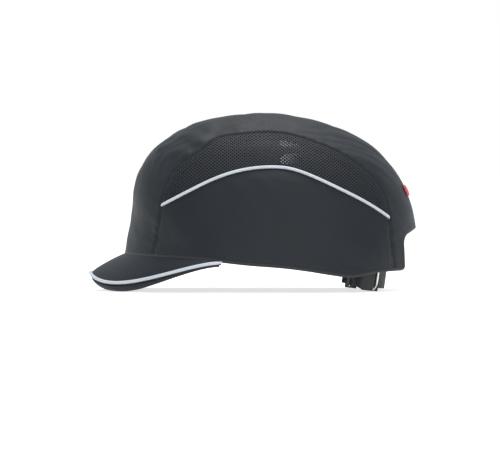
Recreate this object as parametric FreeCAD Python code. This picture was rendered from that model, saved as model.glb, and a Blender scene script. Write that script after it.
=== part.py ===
"""Bump cap: a fabric cap over a removable protective liner, with a nape strap and its slider.

The wearer faces -X, +Y is the wearer's right and +Z is up. Sizes are in millimetres. The cap
stands on the two low edges of its brim and on the nape strap, at z = 0.
"""
import FreeCAD, Part
import math
import os
from FreeCAD import Placement, Rotation, Vector

# crown, as the outer face of the fabric
CROWN_FRONT = 108.4
CROWN_REAR = 138.5
CROWN_HEIGHT = 150.0
CROWN_WIDTH = 190.0
SECTION_POWER = 2.5
DOME_CENTRE_X = 12.0
DOME_CENTRE_Z = -30.0
FABRIC = 1.2
TAPE = 0.8
TAPE_GAP = 0.06
SEAM_TAPE = 0.5
SEAM_TAPE_WIDTH = 9.0
RIM_TAPE_HEIGHT = 10.0
RIM_TAPE_HANG = 1.5
ARCH_TAPE_WIDTH = 7.0
PIPING_WIDTH = 2.8
PIPING_RISE = 1.2

# profile of the crown in the side view, as shares of its front or rear reach and of its height
CROWN_PROFILE = (
    (-1.035, -0.20), (-1.0, 0.21), (-0.944, 0.453), (-0.918, 0.61), (-0.78, 0.793),
    (-0.461, 0.94), (0.0, 1.0), (0.376, 0.963), (0.672, 0.85), (0.875, 0.68),
    (0.985, 0.453), (1.014, 0.16), (1.03, -0.20),
)
# lines drawn on the side of the crown, in the same shares
RIM_LINE = (
    (-1.25, 0.215), (-0.99, 0.21), (-0.76, 0.204), (-0.35, 0.187), (-0.1, 0.166),
    (0.22, 0.142), (0.51, 0.102), (0.60, 0.094), (0.735, 0.115), (0.91, 0.127), (1.2, 0.127),
)
PIPING_LINE = (
    (-0.706, 0.482), (-0.45, 0.578), (-0.254, 0.643), (0.0, 0.69), (0.10, 0.697),
    (0.21, 0.691), (0.333, 0.657), (0.49, 0.592), (0.766, 0.455), (0.831, 0.413),
)
MESH_TOP_LINE = (
    (-0.706, 0.482), (-0.653, 0.607), (-0.52, 0.731), (-0.402, 0.788), (-0.292, 0.853),
    (-0.138, 0.879), (0.21, 0.883), (0.333, 0.853), (0.539, 0.773), (0.693, 0.672),
    (0.797, 0.542), (0.831, 0.413),
)
FRONT_SEAM_FOOT = (-0.80, 0.03)
REAR_SEAM_FOOT = (0.866, 0.03)

# opening at the back of the crown, above the nape strap
ARCH_HALF_WIDTH = 45.0
ARCH_TOP = 54.0
ARCH_SIDE_TOP = 47.0
ARCH_CORNER = 8.0

# plain woven tab on the back
TAB_WIDTH = 34.0
TAB_LOW = 80.0
TAB_HIGH = 89.0
TAB_THICKNESS = 0.9

# brim
BRIM_ROOT_X = -26.0
BRIM_LENGTH = 27.8
BRIM_END_WIDTH = 2.2
BRIM_TIP_DROP = 15.1
BRIM_END_DROP = 0.4
BRIM_DIP = 11.6
BRIM_DIP_POWER = 1.3
BRIM_FABRIC = 1.0
BRIM_BOARD = 2.2
BRIM_LAYER_GAP = 0.1
BRIM_LIP_END = 5.6
BRIM_LIP_EXTRA = 3.6
BRIM_LIP_WIDTH = 6.0
BRIM_LIP_SHARE = 0.3
BRIM_LIP_BACK = 0.2
BRIM_LIP_BLEND = 0.1
BRIM_NOSE_STEP = 0.4
BRIM_NOSE_HEIGHT = 1.2
BRIM_PIPING_RADIUS = 1.3
BRIM_STATIONS = 15
BRIM_ROOT_DEPTH = 0.6

# protective liner, as depths below the outer face of the fabric
LINER_LIFT = 1.3
CROWN_GAP = 0.3
SHELL_THICKNESS = 2.2
FOAM_GAP = 0.2
FOAM_THICKNESS = 5.6
HEADBAND_CLEARANCE = 3.2
HEADBAND_THICKNESS = 1.5
SWEATBAND_THICKNESS = 3.0
SHELL_ABOVE_RIM = 12.0
SHELL_ARCH_MARGIN = 8.0
HEADBAND_BELOW_RIM = 1.0
HEADBAND_ABOVE_RIM = 24.0
FOAM_ABOVE_RIM = 27.0
FOAM_SPLIT = 4.0
CROWN_FOAM_LOW = 98.0
FRONT_FOAM_END_X = -43.0
REAR_FOAM_START_X = 73.0
SWEATBAND_END_X = 15.0
PEG_RADIUS = 3.0
PEG_ABOVE_RIM = 18.0
SIDE_PEG_X = (-40.0, 40.0)
FRONT_PEG_Y = 26.0
VENT_LENGTH = 20.0
VENT_HEIGHT = 9.0
# vents in the shell alone, then those that go on through the foam, as shares like those above
SHELL_VENTS = ((-0.40, 0.735), (-0.06, 0.74), (0.48, 0.70))
OPEN_VENTS = ((0.24, 0.74), (0.24, 0.84))

# nape strap, in a frame tipped down towards the back
STRAP_INSET = 25.6
STRAP_CENTRE_Z = 12.9
STRAP_TILT = 8.0
STRAP_MEETS_HEADBAND_X = 72.0
STRAP_THICKNESS = 1.5
STRAP_HEIGHT = 20.0
STRAP_LAYER_GAP = 3.4
# places round the strap, in degrees back from the rivets
FOLD_SPAN = 1.2
FOLD_PLACE = 8.0
SEWN_END_PLACE = 20.0
TAIL_END_PLACE = 29.5
SLIDER_START_PLACE = 12.5
SLIDER_END_PLACE = 27.0
ANCHOR_REAR_PLACE = 12.0
ANCHOR_LOOP_PLACE = 4.5
ANCHOR_FRONT_PLACE = -4.5
HEADBAND_END_PLACE = 4.0
FOLD_STUB_SPAN = 2.0
TAIL_GAP = 0.3
TAIL_DROP = 2.4
ANCHOR_CLEARANCE = 1.0
ANCHOR_SEAT_GAP = 0.5
ANCHOR_THICKNESS = 2.0
ANCHOR_RAIL = 1.6
ANCHOR_PLATE_LOW = 7.5
SLOT_CLEARANCE = 0.4
RIVET_HEIGHTS = (10.0, 16.5)
RIVET_RADIUS = 1.6
RIVET_HEAD_RADIUS = 2.8
RIVET_HEAD = 0.8
RIVET_CLEARANCE = 0.05
RIVET_SEAT_GAP = 1.0
SLIDER_HEIGHT = 25.0
SLIDER_WIRE = 2.2
SLIDER_CLEARANCE = 0.4

# derived sizes
REACH = 2.0 * (CROWN_REAR + CROWN_WIDTH)
SHELL_DEPTH = FABRIC + SEAM_TAPE + CROWN_GAP + LINER_LIFT
SHELL_INSIDE = SHELL_DEPTH + SHELL_THICKNESS
FOAM_DEPTH = SHELL_INSIDE + FOAM_GAP
FOAM_INSIDE = FOAM_DEPTH + FOAM_THICKNESS
HEADBAND_DEPTH = FOAM_INSIDE + HEADBAND_CLEARANCE
HEADBAND_INSIDE = HEADBAND_DEPTH + HEADBAND_THICKNESS
SWEATBAND_INSIDE = HEADBAND_INSIDE + SWEATBAND_THICKNESS


def on_side(share):
    """Return the point of the side view at a share of the crown's reach and height."""
    reach = CROWN_FRONT if share[0] < 0 else CROWN_REAR
    return Vector(share[0] * reach, 0, share[1] * CROWN_HEIGHT)


def smooth_curve(points):
    """Return a smooth curve through the points."""
    curve = Part.BSplineCurve()
    curve.interpolate(points)
    return curve


def shifted_curve(curve, depth, samples=18):
    """Return the side-view curve moved to its right-hand side by a depth."""
    if depth == 0:
        return curve
    points = []
    for index in range(samples + 1):
        share = index / samples
        at = curve.FirstParameter + (curve.LastParameter - curve.FirstParameter) * share
        along = curve.tangent(at)[0]
        points.append(curve.value(at) + Vector(along.z, 0, -along.x) * depth)
    return smooth_curve(points)


def crown_profile(depth):
    """Return the crown's side-view curve at a depth below the fabric's outer face."""
    return shifted_curve(smooth_curve([on_side(share) for share in CROWN_PROFILE]), depth)


def dome(depth, lift=0.0, steps=10, last_scale=0.2):
    """Return the solid dome at a depth below the fabric, as a loft of scaled side profiles."""
    centre = Vector(DOME_CENTRE_X, 0, DOME_CENTRE_Z)
    half_width = CROWN_WIDTH / 2 - depth
    profile = crown_profile(depth)
    last_angle = math.acos(last_scale ** (SECTION_POWER / 2))
    sections = []
    for step in range(-steps, steps + 1):
        angle = last_angle * step / steps
        scale = math.cos(angle) ** (2 / SECTION_POWER)
        offset = Vector(0, half_width * math.sin(angle), lift)
        section = profile.copy()
        for index, pole in enumerate(profile.getPoles(), 1):
            section.setPole(index, centre + (pole - centre) * scale + offset)
        edge = section.toShape()
        ends = [vertex.Point for vertex in edge.Vertexes]
        sections.append(Part.Wire([edge, Part.makeLine(ends[-1], ends[0])]))
    return Part.makeLoft(sections, True, False)


def layer(outer_depth, inner_depth, lift=0.0):
    """Return the dome-shaped layer between two depths."""
    return dome(outer_depth, lift).cut(dome(inner_depth, lift))


def across(wire):
    """Return the prism that a closed side-view wire sweeps across the whole width."""
    face = Part.Face(wire)
    face.translate(Vector(0, -REACH / 2, 0))
    return face.extrude(Vector(0, REACH, 0))


def closed(pieces):
    """Return a closed wire from curves and lists of corner points, joined in order."""
    edges = []
    last = None
    first = None
    for piece in pieces:
        if isinstance(piece, list):
            points = ([last] if last else []) + piece
            edges += [Part.makeLine(a, b) for a, b in zip(points, points[1:])]
            last = points[-1]
            first = first or points[0]
        else:
            start = piece.value(piece.FirstParameter)
            if last and (start - last).Length > 1e-6:
                edges.append(Part.makeLine(last, start))
            edges.append(piece.toShape())
            last = piece.value(piece.LastParameter)
            first = first or start
    if (first - last).Length > 1e-6:
        edges.append(Part.makeLine(last, first))
    return Part.Wire(edges)


def rim_curve(rise=0.0):
    """Return the crown's lower edge in the side view, raised by a height."""
    return smooth_curve([on_side(share) + Vector(0, 0, rise) for share in RIM_LINE])


def under_rim(rise=0.0):
    """Return everything below the crown's lower edge, raised by a height."""
    curve = rim_curve(rise)
    low = DOME_CENTRE_Z - CROWN_HEIGHT
    start = curve.value(curve.FirstParameter)
    end = curve.value(curve.LastParameter)
    corners = [Vector(end.x, 0, low), Vector(start.x, 0, low)]
    return across(closed([curve, corners]))


def band_across(curve, width):
    """Return the prism of a band that follows a side-view curve."""
    low = shifted_curve(curve, width / 2)
    high = shifted_curve(curve, -width / 2)
    high.reverse()
    return across(closed([low, high]))


def arch_prism(margin=0.0):
    """Return the prism of the rear opening, widened by a margin, from the crown's middle back."""
    half = ARCH_HALF_WIDTH + margin
    side_top = ARCH_SIDE_TOP + margin
    low = DOME_CENTRE_Z
    x = CROWN_REAR / 2
    left = Vector(x, -half, side_top)
    right = Vector(x, half, side_top)
    edges = [
        Part.makeLine(Vector(x, -half, low), left),
        Part.Arc(left, Vector(x, 0, ARCH_TOP + margin), right).toShape(),
        Part.makeLine(right, Vector(x, half, low)),
        Part.makeLine(Vector(x, half, low), Vector(x, -half, low)),
    ]
    prism = Part.Face(Part.Wire(edges)).extrude(Vector(CROWN_REAR, 0, 0))
    corners = [edge for edge in prism.Edges if abs(edge.CenterOfMass.z - side_top) < 0.01
               and abs(abs(edge.CenterOfMass.y) - half) < 0.01]
    return prism.makeFillet(ARCH_CORNER + margin, corners)


def box(low, high):
    """Return the box between two corners."""
    size = Vector(*high) - Vector(*low)
    return Part.makeBox(size.x, size.y, size.z, Vector(*low))


def beyond_x(low=None, high=None):
    """Return the slab of space between two x positions."""
    start = -REACH if low is None else low
    end = REACH if high is None else high
    return box((start, -REACH, -REACH), (end, REACH, REACH))


def above_z(low, high=None):
    """Return the slab of space between two heights."""
    return box((-REACH, -REACH, low), (REACH, REACH, REACH if high is None else high))


def sides(shape):
    """Return the left (-Y) and the right (+Y) solid of a mirrored pair."""
    solids = sorted(shape.Solids, key=lambda solid: solid.Volume, reverse=True)[:2]
    solids.sort(key=lambda solid: solid.CenterOfMass.y)
    return solids


# ---------------------------------------------------------------- fabric cover

def panel_prisms():
    """Return the side-view prisms of the side panels, the mesh panels and the crown piping."""
    piping = smooth_curve([on_side(share) for share in PIPING_LINE])
    mesh_top = smooth_curve([on_side(share) for share in MESH_TOP_LINE])
    feet = [on_side(REAR_SEAM_FOOT), on_side(FRONT_SEAM_FOOT)]
    side = across(closed([piping, feet]))
    back = mesh_top.copy()
    back.reverse()
    mesh = across(closed([piping, back]))
    return side, mesh, band_across(piping, PIPING_WIDTH)


def cover_panels():
    """Return the fabric panels and the crown piping, cut from one layer along shared seams."""
    fabric = layer(0, FABRIC).cut(under_rim()).cut(arch_prism())
    side, mesh, piping_band = panel_prisms()
    raised = layer(-PIPING_RISE, FABRIC).common(piping_band)
    crown = fabric.cut(side.fuse([mesh, piping_band]))
    side_left, side_right = sides(fabric.common(side).cut(piping_band))
    mesh_left, mesh_right = sides(fabric.common(mesh).cut(piping_band))
    piping_left, piping_right = sides(raised)
    return {
        "crown_panel": sorted(crown.Solids, key=lambda solid: solid.Volume)[-1],
        "side_panel_left": side_left,
        "side_panel_right": side_right,
        "mesh_panel_left": mesh_left,
        "mesh_panel_right": mesh_right,
        "piping_left": piping_left,
        "piping_right": piping_right,
    }


def cover_tapes():
    """Return the tapes sewn inside the cover along the rim, the rear opening and the seams."""
    inside = layer(FABRIC + TAPE_GAP, FABRIC + TAPE)
    rim_band = under_rim(RIM_TAPE_HEIGHT).cut(under_rim(-RIM_TAPE_HANG))
    wide_arch = arch_prism(ARCH_TAPE_WIDTH)
    arch_band = wide_arch.cut(arch_prism())
    rim_tape = inside.common(rim_band).cut(wide_arch)
    arch_tape = inside.common(arch_band).cut(under_rim())
    mesh_top = smooth_curve([on_side(share) for share in MESH_TOP_LINE])
    seam = layer(FABRIC, FABRIC + SEAM_TAPE).common(band_across(mesh_top, SEAM_TAPE_WIDTH))
    seam_left, seam_right = sides(seam)
    return {
        "rim_binding": rim_tape,
        "arch_binding": arch_tape,
        "seam_tape_left": seam_left,
        "seam_tape_right": seam_right,
    }


def rear_tab():
    """Return the plain woven tab sewn on the back of the crown."""
    place = box((0, -TAB_WIDTH / 2, TAB_LOW), (REACH, TAB_WIDTH / 2, TAB_HIGH))
    return layer(-TAB_THICKNESS, 0).common(place)


# ---------------------------------------------------------------- brim

def profile_samples(depth, count=240):
    """Return points along the crown's side profile at a depth, seen from the dome's centre."""
    curve = crown_profile(depth)
    return [curve.value(curve.FirstParameter + (curve.LastParameter - curve.FirstParameter)
                        * index / count) for index in range(count + 1)]


def half_width_at(samples, depth, x, z):
    """Return half the width of the dome where the side view shows the point x, z."""
    centre = Vector(DOME_CENTRE_X, 0, DOME_CENTRE_Z)
    seen = Vector(x, 0, z) - centre
    heading = math.atan2(seen.z, seen.x)
    nearest = min(samples, key=lambda p: abs(math.atan2(p.z - centre.z, p.x - centre.x) - heading))
    scale = min(1.0, seen.Length / (nearest - centre).Length)
    return (CROWN_WIDTH / 2 - depth) * math.sqrt(1 - scale ** SECTION_POWER)


def rim_height(x):
    """Return the height of the crown's lower edge at x."""
    curve = rim_curve()
    low = curve.FirstParameter
    high = curve.LastParameter
    for _ in range(40):
        middle = (low + high) / 2
        if curve.value(middle).x < x:
            low = middle
        else:
            high = middle
    return curve.value(low).z


def brim_stations():
    """Return, for each station round the brim, its root point, edge point and lip depth."""
    depth = BRIM_ROOT_DEPTH
    samples = profile_samples(depth)
    reach = CROWN_FRONT + BRIM_LENGTH + BRIM_ROOT_X
    end_z = rim_height(BRIM_ROOT_X)
    half_width = half_width_at(samples, depth, BRIM_ROOT_X, end_z) + BRIM_END_WIDTH
    end_z -= BRIM_END_DROP
    tip_z = rim_height(-CROWN_FRONT) - BRIM_TIP_DROP
    stations = []
    for index in range(BRIM_STATIONS):
        angle = math.radians(-90 + 180 * index / (BRIM_STATIONS - 1))
        swell = abs(math.sin(2 * angle))
        edge = Vector(BRIM_ROOT_X - reach * math.cos(angle), half_width * math.sin(angle), 0)
        edge.z = (tip_z * math.cos(angle) ** 2 + end_z * math.sin(angle) ** 2
                  - BRIM_DIP * swell ** BRIM_DIP_POWER)
        start = Vector(BRIM_ROOT_X, 0, 0)
        inside = 0.0
        outside = 1.0
        for _ in range(30):
            share = (inside + outside) / 2
            point = start + (Vector(edge.x, edge.y, 0) - start) * share
            if abs(point.y) < half_width_at(samples, depth, point.x, rim_height(point.x)):
                inside = share
            else:
                outside = share
        root = start + (Vector(edge.x, edge.y, 0) - start) * inside
        root.z = rim_height(root.x) - BRIM_LAYER_GAP
        stations.append((root, edge, BRIM_LIP_END + BRIM_LIP_EXTRA * swell))
    return stations


def brim_loft(stations, outline):
    """Return the loft of one section per station; outline gives points as (out, down)."""
    sections = []
    for root, edge, lip in stations:
        flat = Vector(edge.x - root.x, edge.y - root.y, 0)
        length = flat.Length
        out = flat / length
        fall = (edge.z - root.z) / length
        points = [root + out * u + Vector(0, 0, fall * min(u, length) - down)
                  for u, down in outline(length, lip)]
        sections.append(Part.makePolygon(points + points[:1]))
    return Part.makeLoft(sections, True, False)


def brim():
    """Return the brim's top cover, stiff board, under cover and edge piping."""
    stations = brim_stations()
    board_top = BRIM_FABRIC + BRIM_LAYER_GAP
    board_low = board_top + BRIM_BOARD
    under_top = board_low + BRIM_LAYER_GAP
    under_low = under_top + BRIM_FABRIC

    def slab(top, low):
        return lambda length, lip: ((0, top), (length, top), (length, low), (0, low))

    def under(length, lip):
        roll = min(BRIM_LIP_WIDTH, BRIM_LIP_SHARE * length)
        nose = length + BRIM_PIPING_RADIUS
        return (
            (0, under_top), (length, under_top), (nose, under_top + BRIM_NOSE_STEP),
            (nose, lip - BRIM_NOSE_HEIGHT), (length - BRIM_LIP_BACK, lip),
            (length - roll, lip - BRIM_NOSE_STEP), (length - 2 * roll, under_low + BRIM_LIP_BLEND),
            (0, under_low),
        )

    def round_edge(length, lip):
        centre = (length + BRIM_PIPING_RADIUS + BRIM_LAYER_GAP, BRIM_PIPING_RADIUS)
        turn = [math.radians(30 * step) for step in range(12)]
        return [(centre[0] + BRIM_PIPING_RADIUS * math.cos(a),
                 centre[1] + BRIM_PIPING_RADIUS * math.sin(a)) for a in turn]

    return {
        "brim_top_cover": brim_loft(stations, slab(0, BRIM_FABRIC)),
        "brim_board": brim_loft(stations, slab(board_top, board_low)),
        "brim_under_cover": brim_loft(stations, under),
        "brim_piping": brim_loft(stations, round_edge),
    }


# ---------------------------------------------------------------- protective liner

def vent_cuts(places):
    """Return the round-ended slots that pass through both sides of the cap at the given places."""
    straight = VENT_LENGTH - VENT_HEIGHT
    radius = VENT_HEIGHT / 2
    slots = []
    for place in places:
        middle = on_side(place) - Vector(0, REACH / 2, 0)
        slot = Part.makeBox(straight, REACH, VENT_HEIGHT, middle - Vector(straight / 2, 0, radius))
        for end in (-straight / 2, straight / 2):
            slot = slot.fuse(Part.makeCylinder(radius, REACH, middle + Vector(end, 0, 0), Vector(0, 1, 0)))
        slots.append(slot.removeSplitter())
    return slots


def protective_shell():
    """Return the hard plastic shell with its vents and its arch over the rear opening."""
    shell = layer(SHELL_DEPTH, SHELL_INSIDE, LINER_LIFT)
    shell = shell.cut(under_rim(SHELL_ABOVE_RIM)).cut(arch_prism(SHELL_ARCH_MARGIN))
    return shell.cut(vent_cuts(SHELL_VENTS + OPEN_VENTS))


def foam_pads():
    """Return the foam pads inside the shell: top, front, back and two sides."""
    foam = layer(FOAM_DEPTH, FOAM_INSIDE, LINER_LIFT)
    foam = foam.cut(under_rim(FOAM_ABOVE_RIM)).cut(arch_prism(SHELL_ARCH_MARGIN + FOAM_SPLIT))
    foam = foam.cut(vent_cuts(OPEN_VENTS))
    low = foam.common(above_z(-REACH, CROWN_FOAM_LOW - FOAM_SPLIT))
    side_zone = beyond_x(FRONT_FOAM_END_X + FOAM_SPLIT, REAR_FOAM_START_X - FOAM_SPLIT)
    side_left, side_right = sides(low.common(side_zone))
    return {
        "crown_foam": foam.common(above_z(CROWN_FOAM_LOW)),
        "front_foam": low.common(beyond_x(None, FRONT_FOAM_END_X)),
        "rear_foam": low.common(beyond_x(REAR_FOAM_START_X, None)),
        "side_foam_left": side_left,
        "side_foam_right": side_right,
    }


def headband_pegs():
    """Return the pegs that carry the headband on the shell, trimmed to both faces."""
    room = layer(SHELL_INSIDE, HEADBAND_DEPTH, LINER_LIFT)
    half = CROWN_WIDTH / 2
    pegs = []
    for x in SIDE_PEG_X:
        height = rim_height(x) + PEG_ABOVE_RIM
        rod = Part.makeCylinder(PEG_RADIUS, CROWN_WIDTH, Vector(x, -half, height), Vector(0, 1, 0))
        pegs += rod.common(room).Solids
    height = rim_height(-CROWN_FRONT) + PEG_ABOVE_RIM
    for y in (-FRONT_PEG_Y, FRONT_PEG_Y):
        rod = Part.makeCylinder(PEG_RADIUS, CROWN_FRONT, Vector(-CROWN_FRONT, y, height), Vector(1, 0, 0))
        pegs += rod.common(room).Solids
    return Part.makeCompound(pegs)


def headband(drills, end_x):
    """Return the headband and the towelling sweatband inside its front."""
    zone = under_rim(HEADBAND_ABOVE_RIM).cut(under_rim(-HEADBAND_BELOW_RIM))
    band = layer(HEADBAND_DEPTH, HEADBAND_INSIDE, LINER_LIFT).common(zone)
    band = band.common(beyond_x(None, end_x))
    for drill in drills:
        band = band.cut(drill)
    pad = layer(HEADBAND_INSIDE, SWEATBAND_INSIDE, LINER_LIFT).common(zone)
    return {
        "headband": band,
        "sweatband": pad.common(beyond_x(None, SWEATBAND_END_X)),
    }


# ---------------------------------------------------------------- nape strap

class StrapCircle:
    """The circle that the nape strap follows, from the headband's ends round the back."""

    def __init__(self):
        x = STRAP_MEETS_HEADBAND_X
        samples = profile_samples(HEADBAND_DEPTH)
        y = half_width_at(samples, HEADBAND_DEPTH, x, rim_height(x))
        headband_to_face = ANCHOR_SEAT_GAP - ANCHOR_CLEARANCE
        rear = CROWN_REAR - STRAP_INSET - headband_to_face
        self.centre_x = (rear ** 2 - x ** 2 - y ** 2) / (2 * (rear - x))
        headband_radius = math.hypot(x - self.centre_x, y)
        self.rivet_angle = math.degrees(math.atan2(y, x - self.centre_x))
        self.face = headband_radius + headband_to_face
        self.radius = self.face - STRAP_THICKNESS
        self.anchor = self.face + ANCHOR_CLEARANCE
        self.outer_layer = self.face + STRAP_LAYER_GAP
        self.outer_face = self.outer_layer + STRAP_THICKNESS
        self.slider = self.outer_face + SLIDER_CLEARANCE
        self.fold = self.angle(FOLD_PLACE)

    def angle(self, place):
        """Return the angle from the back of a place given in degrees back from the rivets."""
        return self.rivet_angle - place

    def headband_end_x(self):
        """Return where the headband stops, a little behind the rivets."""
        return self.centre_x + self.radius * math.cos(math.radians(self.angle(HEADBAND_END_PLACE)))

    def placed(self, shape):
        """Move a shape from the strap's own frame, with its axis on z, into the cap's frame."""
        moved = shape.copy()
        tilt = Rotation(Vector(0, 1, 0), STRAP_TILT)
        origin = Vector(self.centre_x, 0, STRAP_CENTRE_Z)
        moved.Placement = Placement(origin, tilt).multiply(moved.Placement)
        return moved


def sector(inner, outer, start, end, low, high):
    """Return a ring sector in the strap's frame; angles run from the back, +Y positive."""
    height = high - low
    base = Vector(0, 0, low)
    up = Vector(0, 0, 1)
    ring = Part.makeCylinder(outer, height, base, up, end - start)
    ring = ring.cut(Part.makeCylinder(inner, height, base, up))
    ring.rotate(Vector(0, 0, 0), up, start)
    return ring


def mirrored(shape):
    """Return the shape mirrored to the other side of the cap."""
    return shape.mirror(Vector(0, 0, 0), Vector(0, 1, 0))


def nape_strap(circle):
    """Return the main webbing, folded over both anchors and sewn down on the right."""
    fold = circle.fold
    main = sector(circle.radius, circle.face, -fold, fold, 0, STRAP_HEIGHT)
    turn = sector(circle.radius, circle.outer_face, fold, fold + FOLD_SPAN, 0, STRAP_HEIGHT)
    sewn_end = circle.angle(SEWN_END_PLACE)
    sewn = sector(circle.outer_layer, circle.outer_face, sewn_end, fold, 0, STRAP_HEIGHT)
    stub_end = fold - FOLD_STUB_SPAN
    stub = sector(circle.outer_layer, circle.outer_face, stub_end, fold, 0, STRAP_HEIGHT)
    return circle.placed(main.fuse([turn, sewn, mirrored(turn), mirrored(stub)]).removeSplitter())


def strap_tail(circle):
    """Return the outer webbing layer, from the left fold to its loose end under the slider."""
    start = circle.fold - FOLD_STUB_SPAN - TAIL_GAP
    end = circle.angle(TAIL_END_PLACE)
    tail = sector(circle.outer_layer, circle.outer_face, end, start, -TAIL_DROP, STRAP_HEIGHT - TAIL_DROP)
    return circle.placed(mirrored(tail))


def slider_frame(circle):
    """Return the slider: a wire frame with a centre bar, outside the webbing on the left."""
    inner = circle.slider
    outer = inner + SLIDER_WIRE
    wire_span = math.degrees(SLIDER_WIRE / inner)
    start = circle.angle(SLIDER_END_PLACE)
    end = circle.angle(SLIDER_START_PLACE)
    low = (STRAP_HEIGHT - SLIDER_HEIGHT) / 2
    high = low + SLIDER_HEIGHT
    frame = sector(inner, outer, start, end, low, high)
    window = sector(inner, outer, start + wire_span, end - wire_span, low + SLIDER_WIRE, high - SLIDER_WIRE)
    middle = (start + end) / 2
    bar = sector(inner, outer, middle - wire_span / 2, middle + wire_span / 2, low, high)
    return circle.placed(mirrored(frame.cut(window).fuse(bar).removeSplitter()))


def rivet_rods(circle, radius, start, end):
    """Return a radial rod at each rivet place on the right side, in the strap's frame."""
    heading = Rotation(Vector(0, 0, 1), circle.rivet_angle).multVec(Vector(1, 0, 0))
    return [Part.makeCylinder(radius, end - start, heading * start + Vector(0, 0, height), heading)
            for height in RIVET_HEIGHTS]


def anchor_parts(circle):
    """Return the two strap anchors, their rivets and the rods that drill the headband."""
    inner = circle.anchor
    outer = inner + ANCHOR_THICKNESS
    rail = SLOT_CLEARANCE + ANCHOR_RAIL
    loop_end = circle.angle(ANCHOR_LOOP_PLACE)
    plate = sector(inner, outer, loop_end, circle.angle(ANCHOR_FRONT_PLACE), ANCHOR_PLATE_LOW, STRAP_HEIGHT)
    loop = sector(inner, outer, circle.angle(ANCHOR_REAR_PLACE), loop_end, -rail, STRAP_HEIGHT + rail)
    gap = math.degrees(SLOT_CLEARANCE / inner)
    slot = sector(inner - SLOT_CLEARANCE, outer + SLOT_CLEARANCE, circle.fold - gap,
                  circle.fold + FOLD_SPAN + gap, -SLOT_CLEARANCE, STRAP_HEIGHT + SLOT_CLEARANCE)
    depth = HEADBAND_THICKNESS + ANCHOR_SEAT_GAP + 2 * RIVET_HEAD + RIVET_SEAT_GAP
    drill = rivet_rods(circle, RIVET_RADIUS + RIVET_CLEARANCE, inner - 2 * depth, outer + depth)
    anchor = plate.fuse(loop).cut(slot).cut(drill).removeSplitter()
    seat = inner - depth
    rods = zip(rivet_rods(circle, RIVET_RADIUS, seat, outer + RIVET_HEAD),
               rivet_rods(circle, RIVET_HEAD_RADIUS, outer, outer + RIVET_HEAD),
               rivet_rods(circle, RIVET_HEAD_RADIUS, seat, seat + RIVET_HEAD))
    rivets = [shank.fuse([outside, inside]).removeSplitter() for shank, outside, inside in rods]
    both = [circle.placed(rivet) for rivet in rivets] + [circle.placed(mirrored(rivet)) for rivet in rivets]
    drills = [circle.placed(rod) for rod in drill] + [circle.placed(mirrored(rod)) for rod in drill]
    nodes = {
        "strap_anchor_left": circle.placed(mirrored(anchor)),
        "strap_anchor_right": circle.placed(anchor),
        "anchor_rivets": Part.makeCompound(both),
    }
    return nodes, drills


def build():
    """Return every node of the cap by name."""
    nodes = {}
    nodes.update(cover_panels())
    nodes.update(cover_tapes())
    nodes["rear_tab"] = rear_tab()
    nodes.update(brim())
    nodes["hard_shell"] = protective_shell()
    nodes.update(foam_pads())
    circle = StrapCircle()
    anchors, drills = anchor_parts(circle)
    nodes.update(headband(drills, circle.headband_end_x()))
    nodes["headband_pegs"] = headband_pegs()
    nodes["nape_strap"] = nape_strap(circle)
    nodes.update(anchors)
    nodes["slider_frame"] = slider_frame(circle)
    nodes["strap_tail"] = strap_tail(circle)
    return nodes


os.makedirs("parts", exist_ok=True)
for name, shape in build().items():
    solids = shape.Solids
    body = solids[0] if len(solids) == 1 else Part.makeCompound(solids)
    body.exportStep("parts/" + name + ".step")
    corners = body.BoundBox
    print(name, len(solids), "valid" if body.isValid() else "INVALID", round(body.Volume, 1),
          [round(value, 1) for value in (corners.XMin, corners.XMax, corners.YMin, corners.YMax,
                                         corners.ZMin, corners.ZMax)])
circle = StrapCircle()
print("strap axis x", round(circle.centre_x, 3), "face radius", round(circle.face, 3),
      "rivets at", round(circle.rivet_angle, 3))
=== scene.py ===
"""The looks of a bump cap: fabric crown, net sides, reflective piping, brim, liner and nape strap.

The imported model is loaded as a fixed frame. Sizes in the classes are in millimetres, in the cap's own
frame: the wearer faces -X, +Y is the wearer's right and +Z is up. Meshes are made in metres.
"""
import logging
import math
from dataclasses import dataclass, field
from enum import Enum
from typing import Callable, Optional, Sequence

import bmesh
import bpy
import numpy as np
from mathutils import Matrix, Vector, noise


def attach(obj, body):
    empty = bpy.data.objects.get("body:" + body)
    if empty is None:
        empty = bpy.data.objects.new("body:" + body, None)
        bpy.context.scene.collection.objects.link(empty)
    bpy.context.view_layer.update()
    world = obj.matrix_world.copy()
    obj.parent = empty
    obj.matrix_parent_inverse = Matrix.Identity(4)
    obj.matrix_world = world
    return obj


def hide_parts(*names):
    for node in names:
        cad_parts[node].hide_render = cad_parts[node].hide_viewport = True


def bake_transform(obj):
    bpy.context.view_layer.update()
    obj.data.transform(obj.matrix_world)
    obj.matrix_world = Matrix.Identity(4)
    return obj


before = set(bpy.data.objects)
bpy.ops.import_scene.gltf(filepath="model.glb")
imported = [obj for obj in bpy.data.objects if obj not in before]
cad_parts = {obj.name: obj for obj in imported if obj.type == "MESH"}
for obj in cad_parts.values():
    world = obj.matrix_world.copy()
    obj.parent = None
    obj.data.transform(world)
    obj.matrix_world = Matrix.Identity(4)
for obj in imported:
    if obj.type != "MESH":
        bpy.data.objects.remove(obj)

log = logging.getLogger("bump_cap")
MM = 0.001
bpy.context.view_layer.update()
Array = np.ndarray


class Side(Enum):
    """The two sides of the cap, as the sign of y."""

    LEFT = -1.0
    RIGHT = 1.0

    @property
    def word(self) -> str:
        """The side's name as it stands in the names of pieces."""
        return self.name.lower()


# ------------------------------------------------------------------ shader expressions

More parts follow.
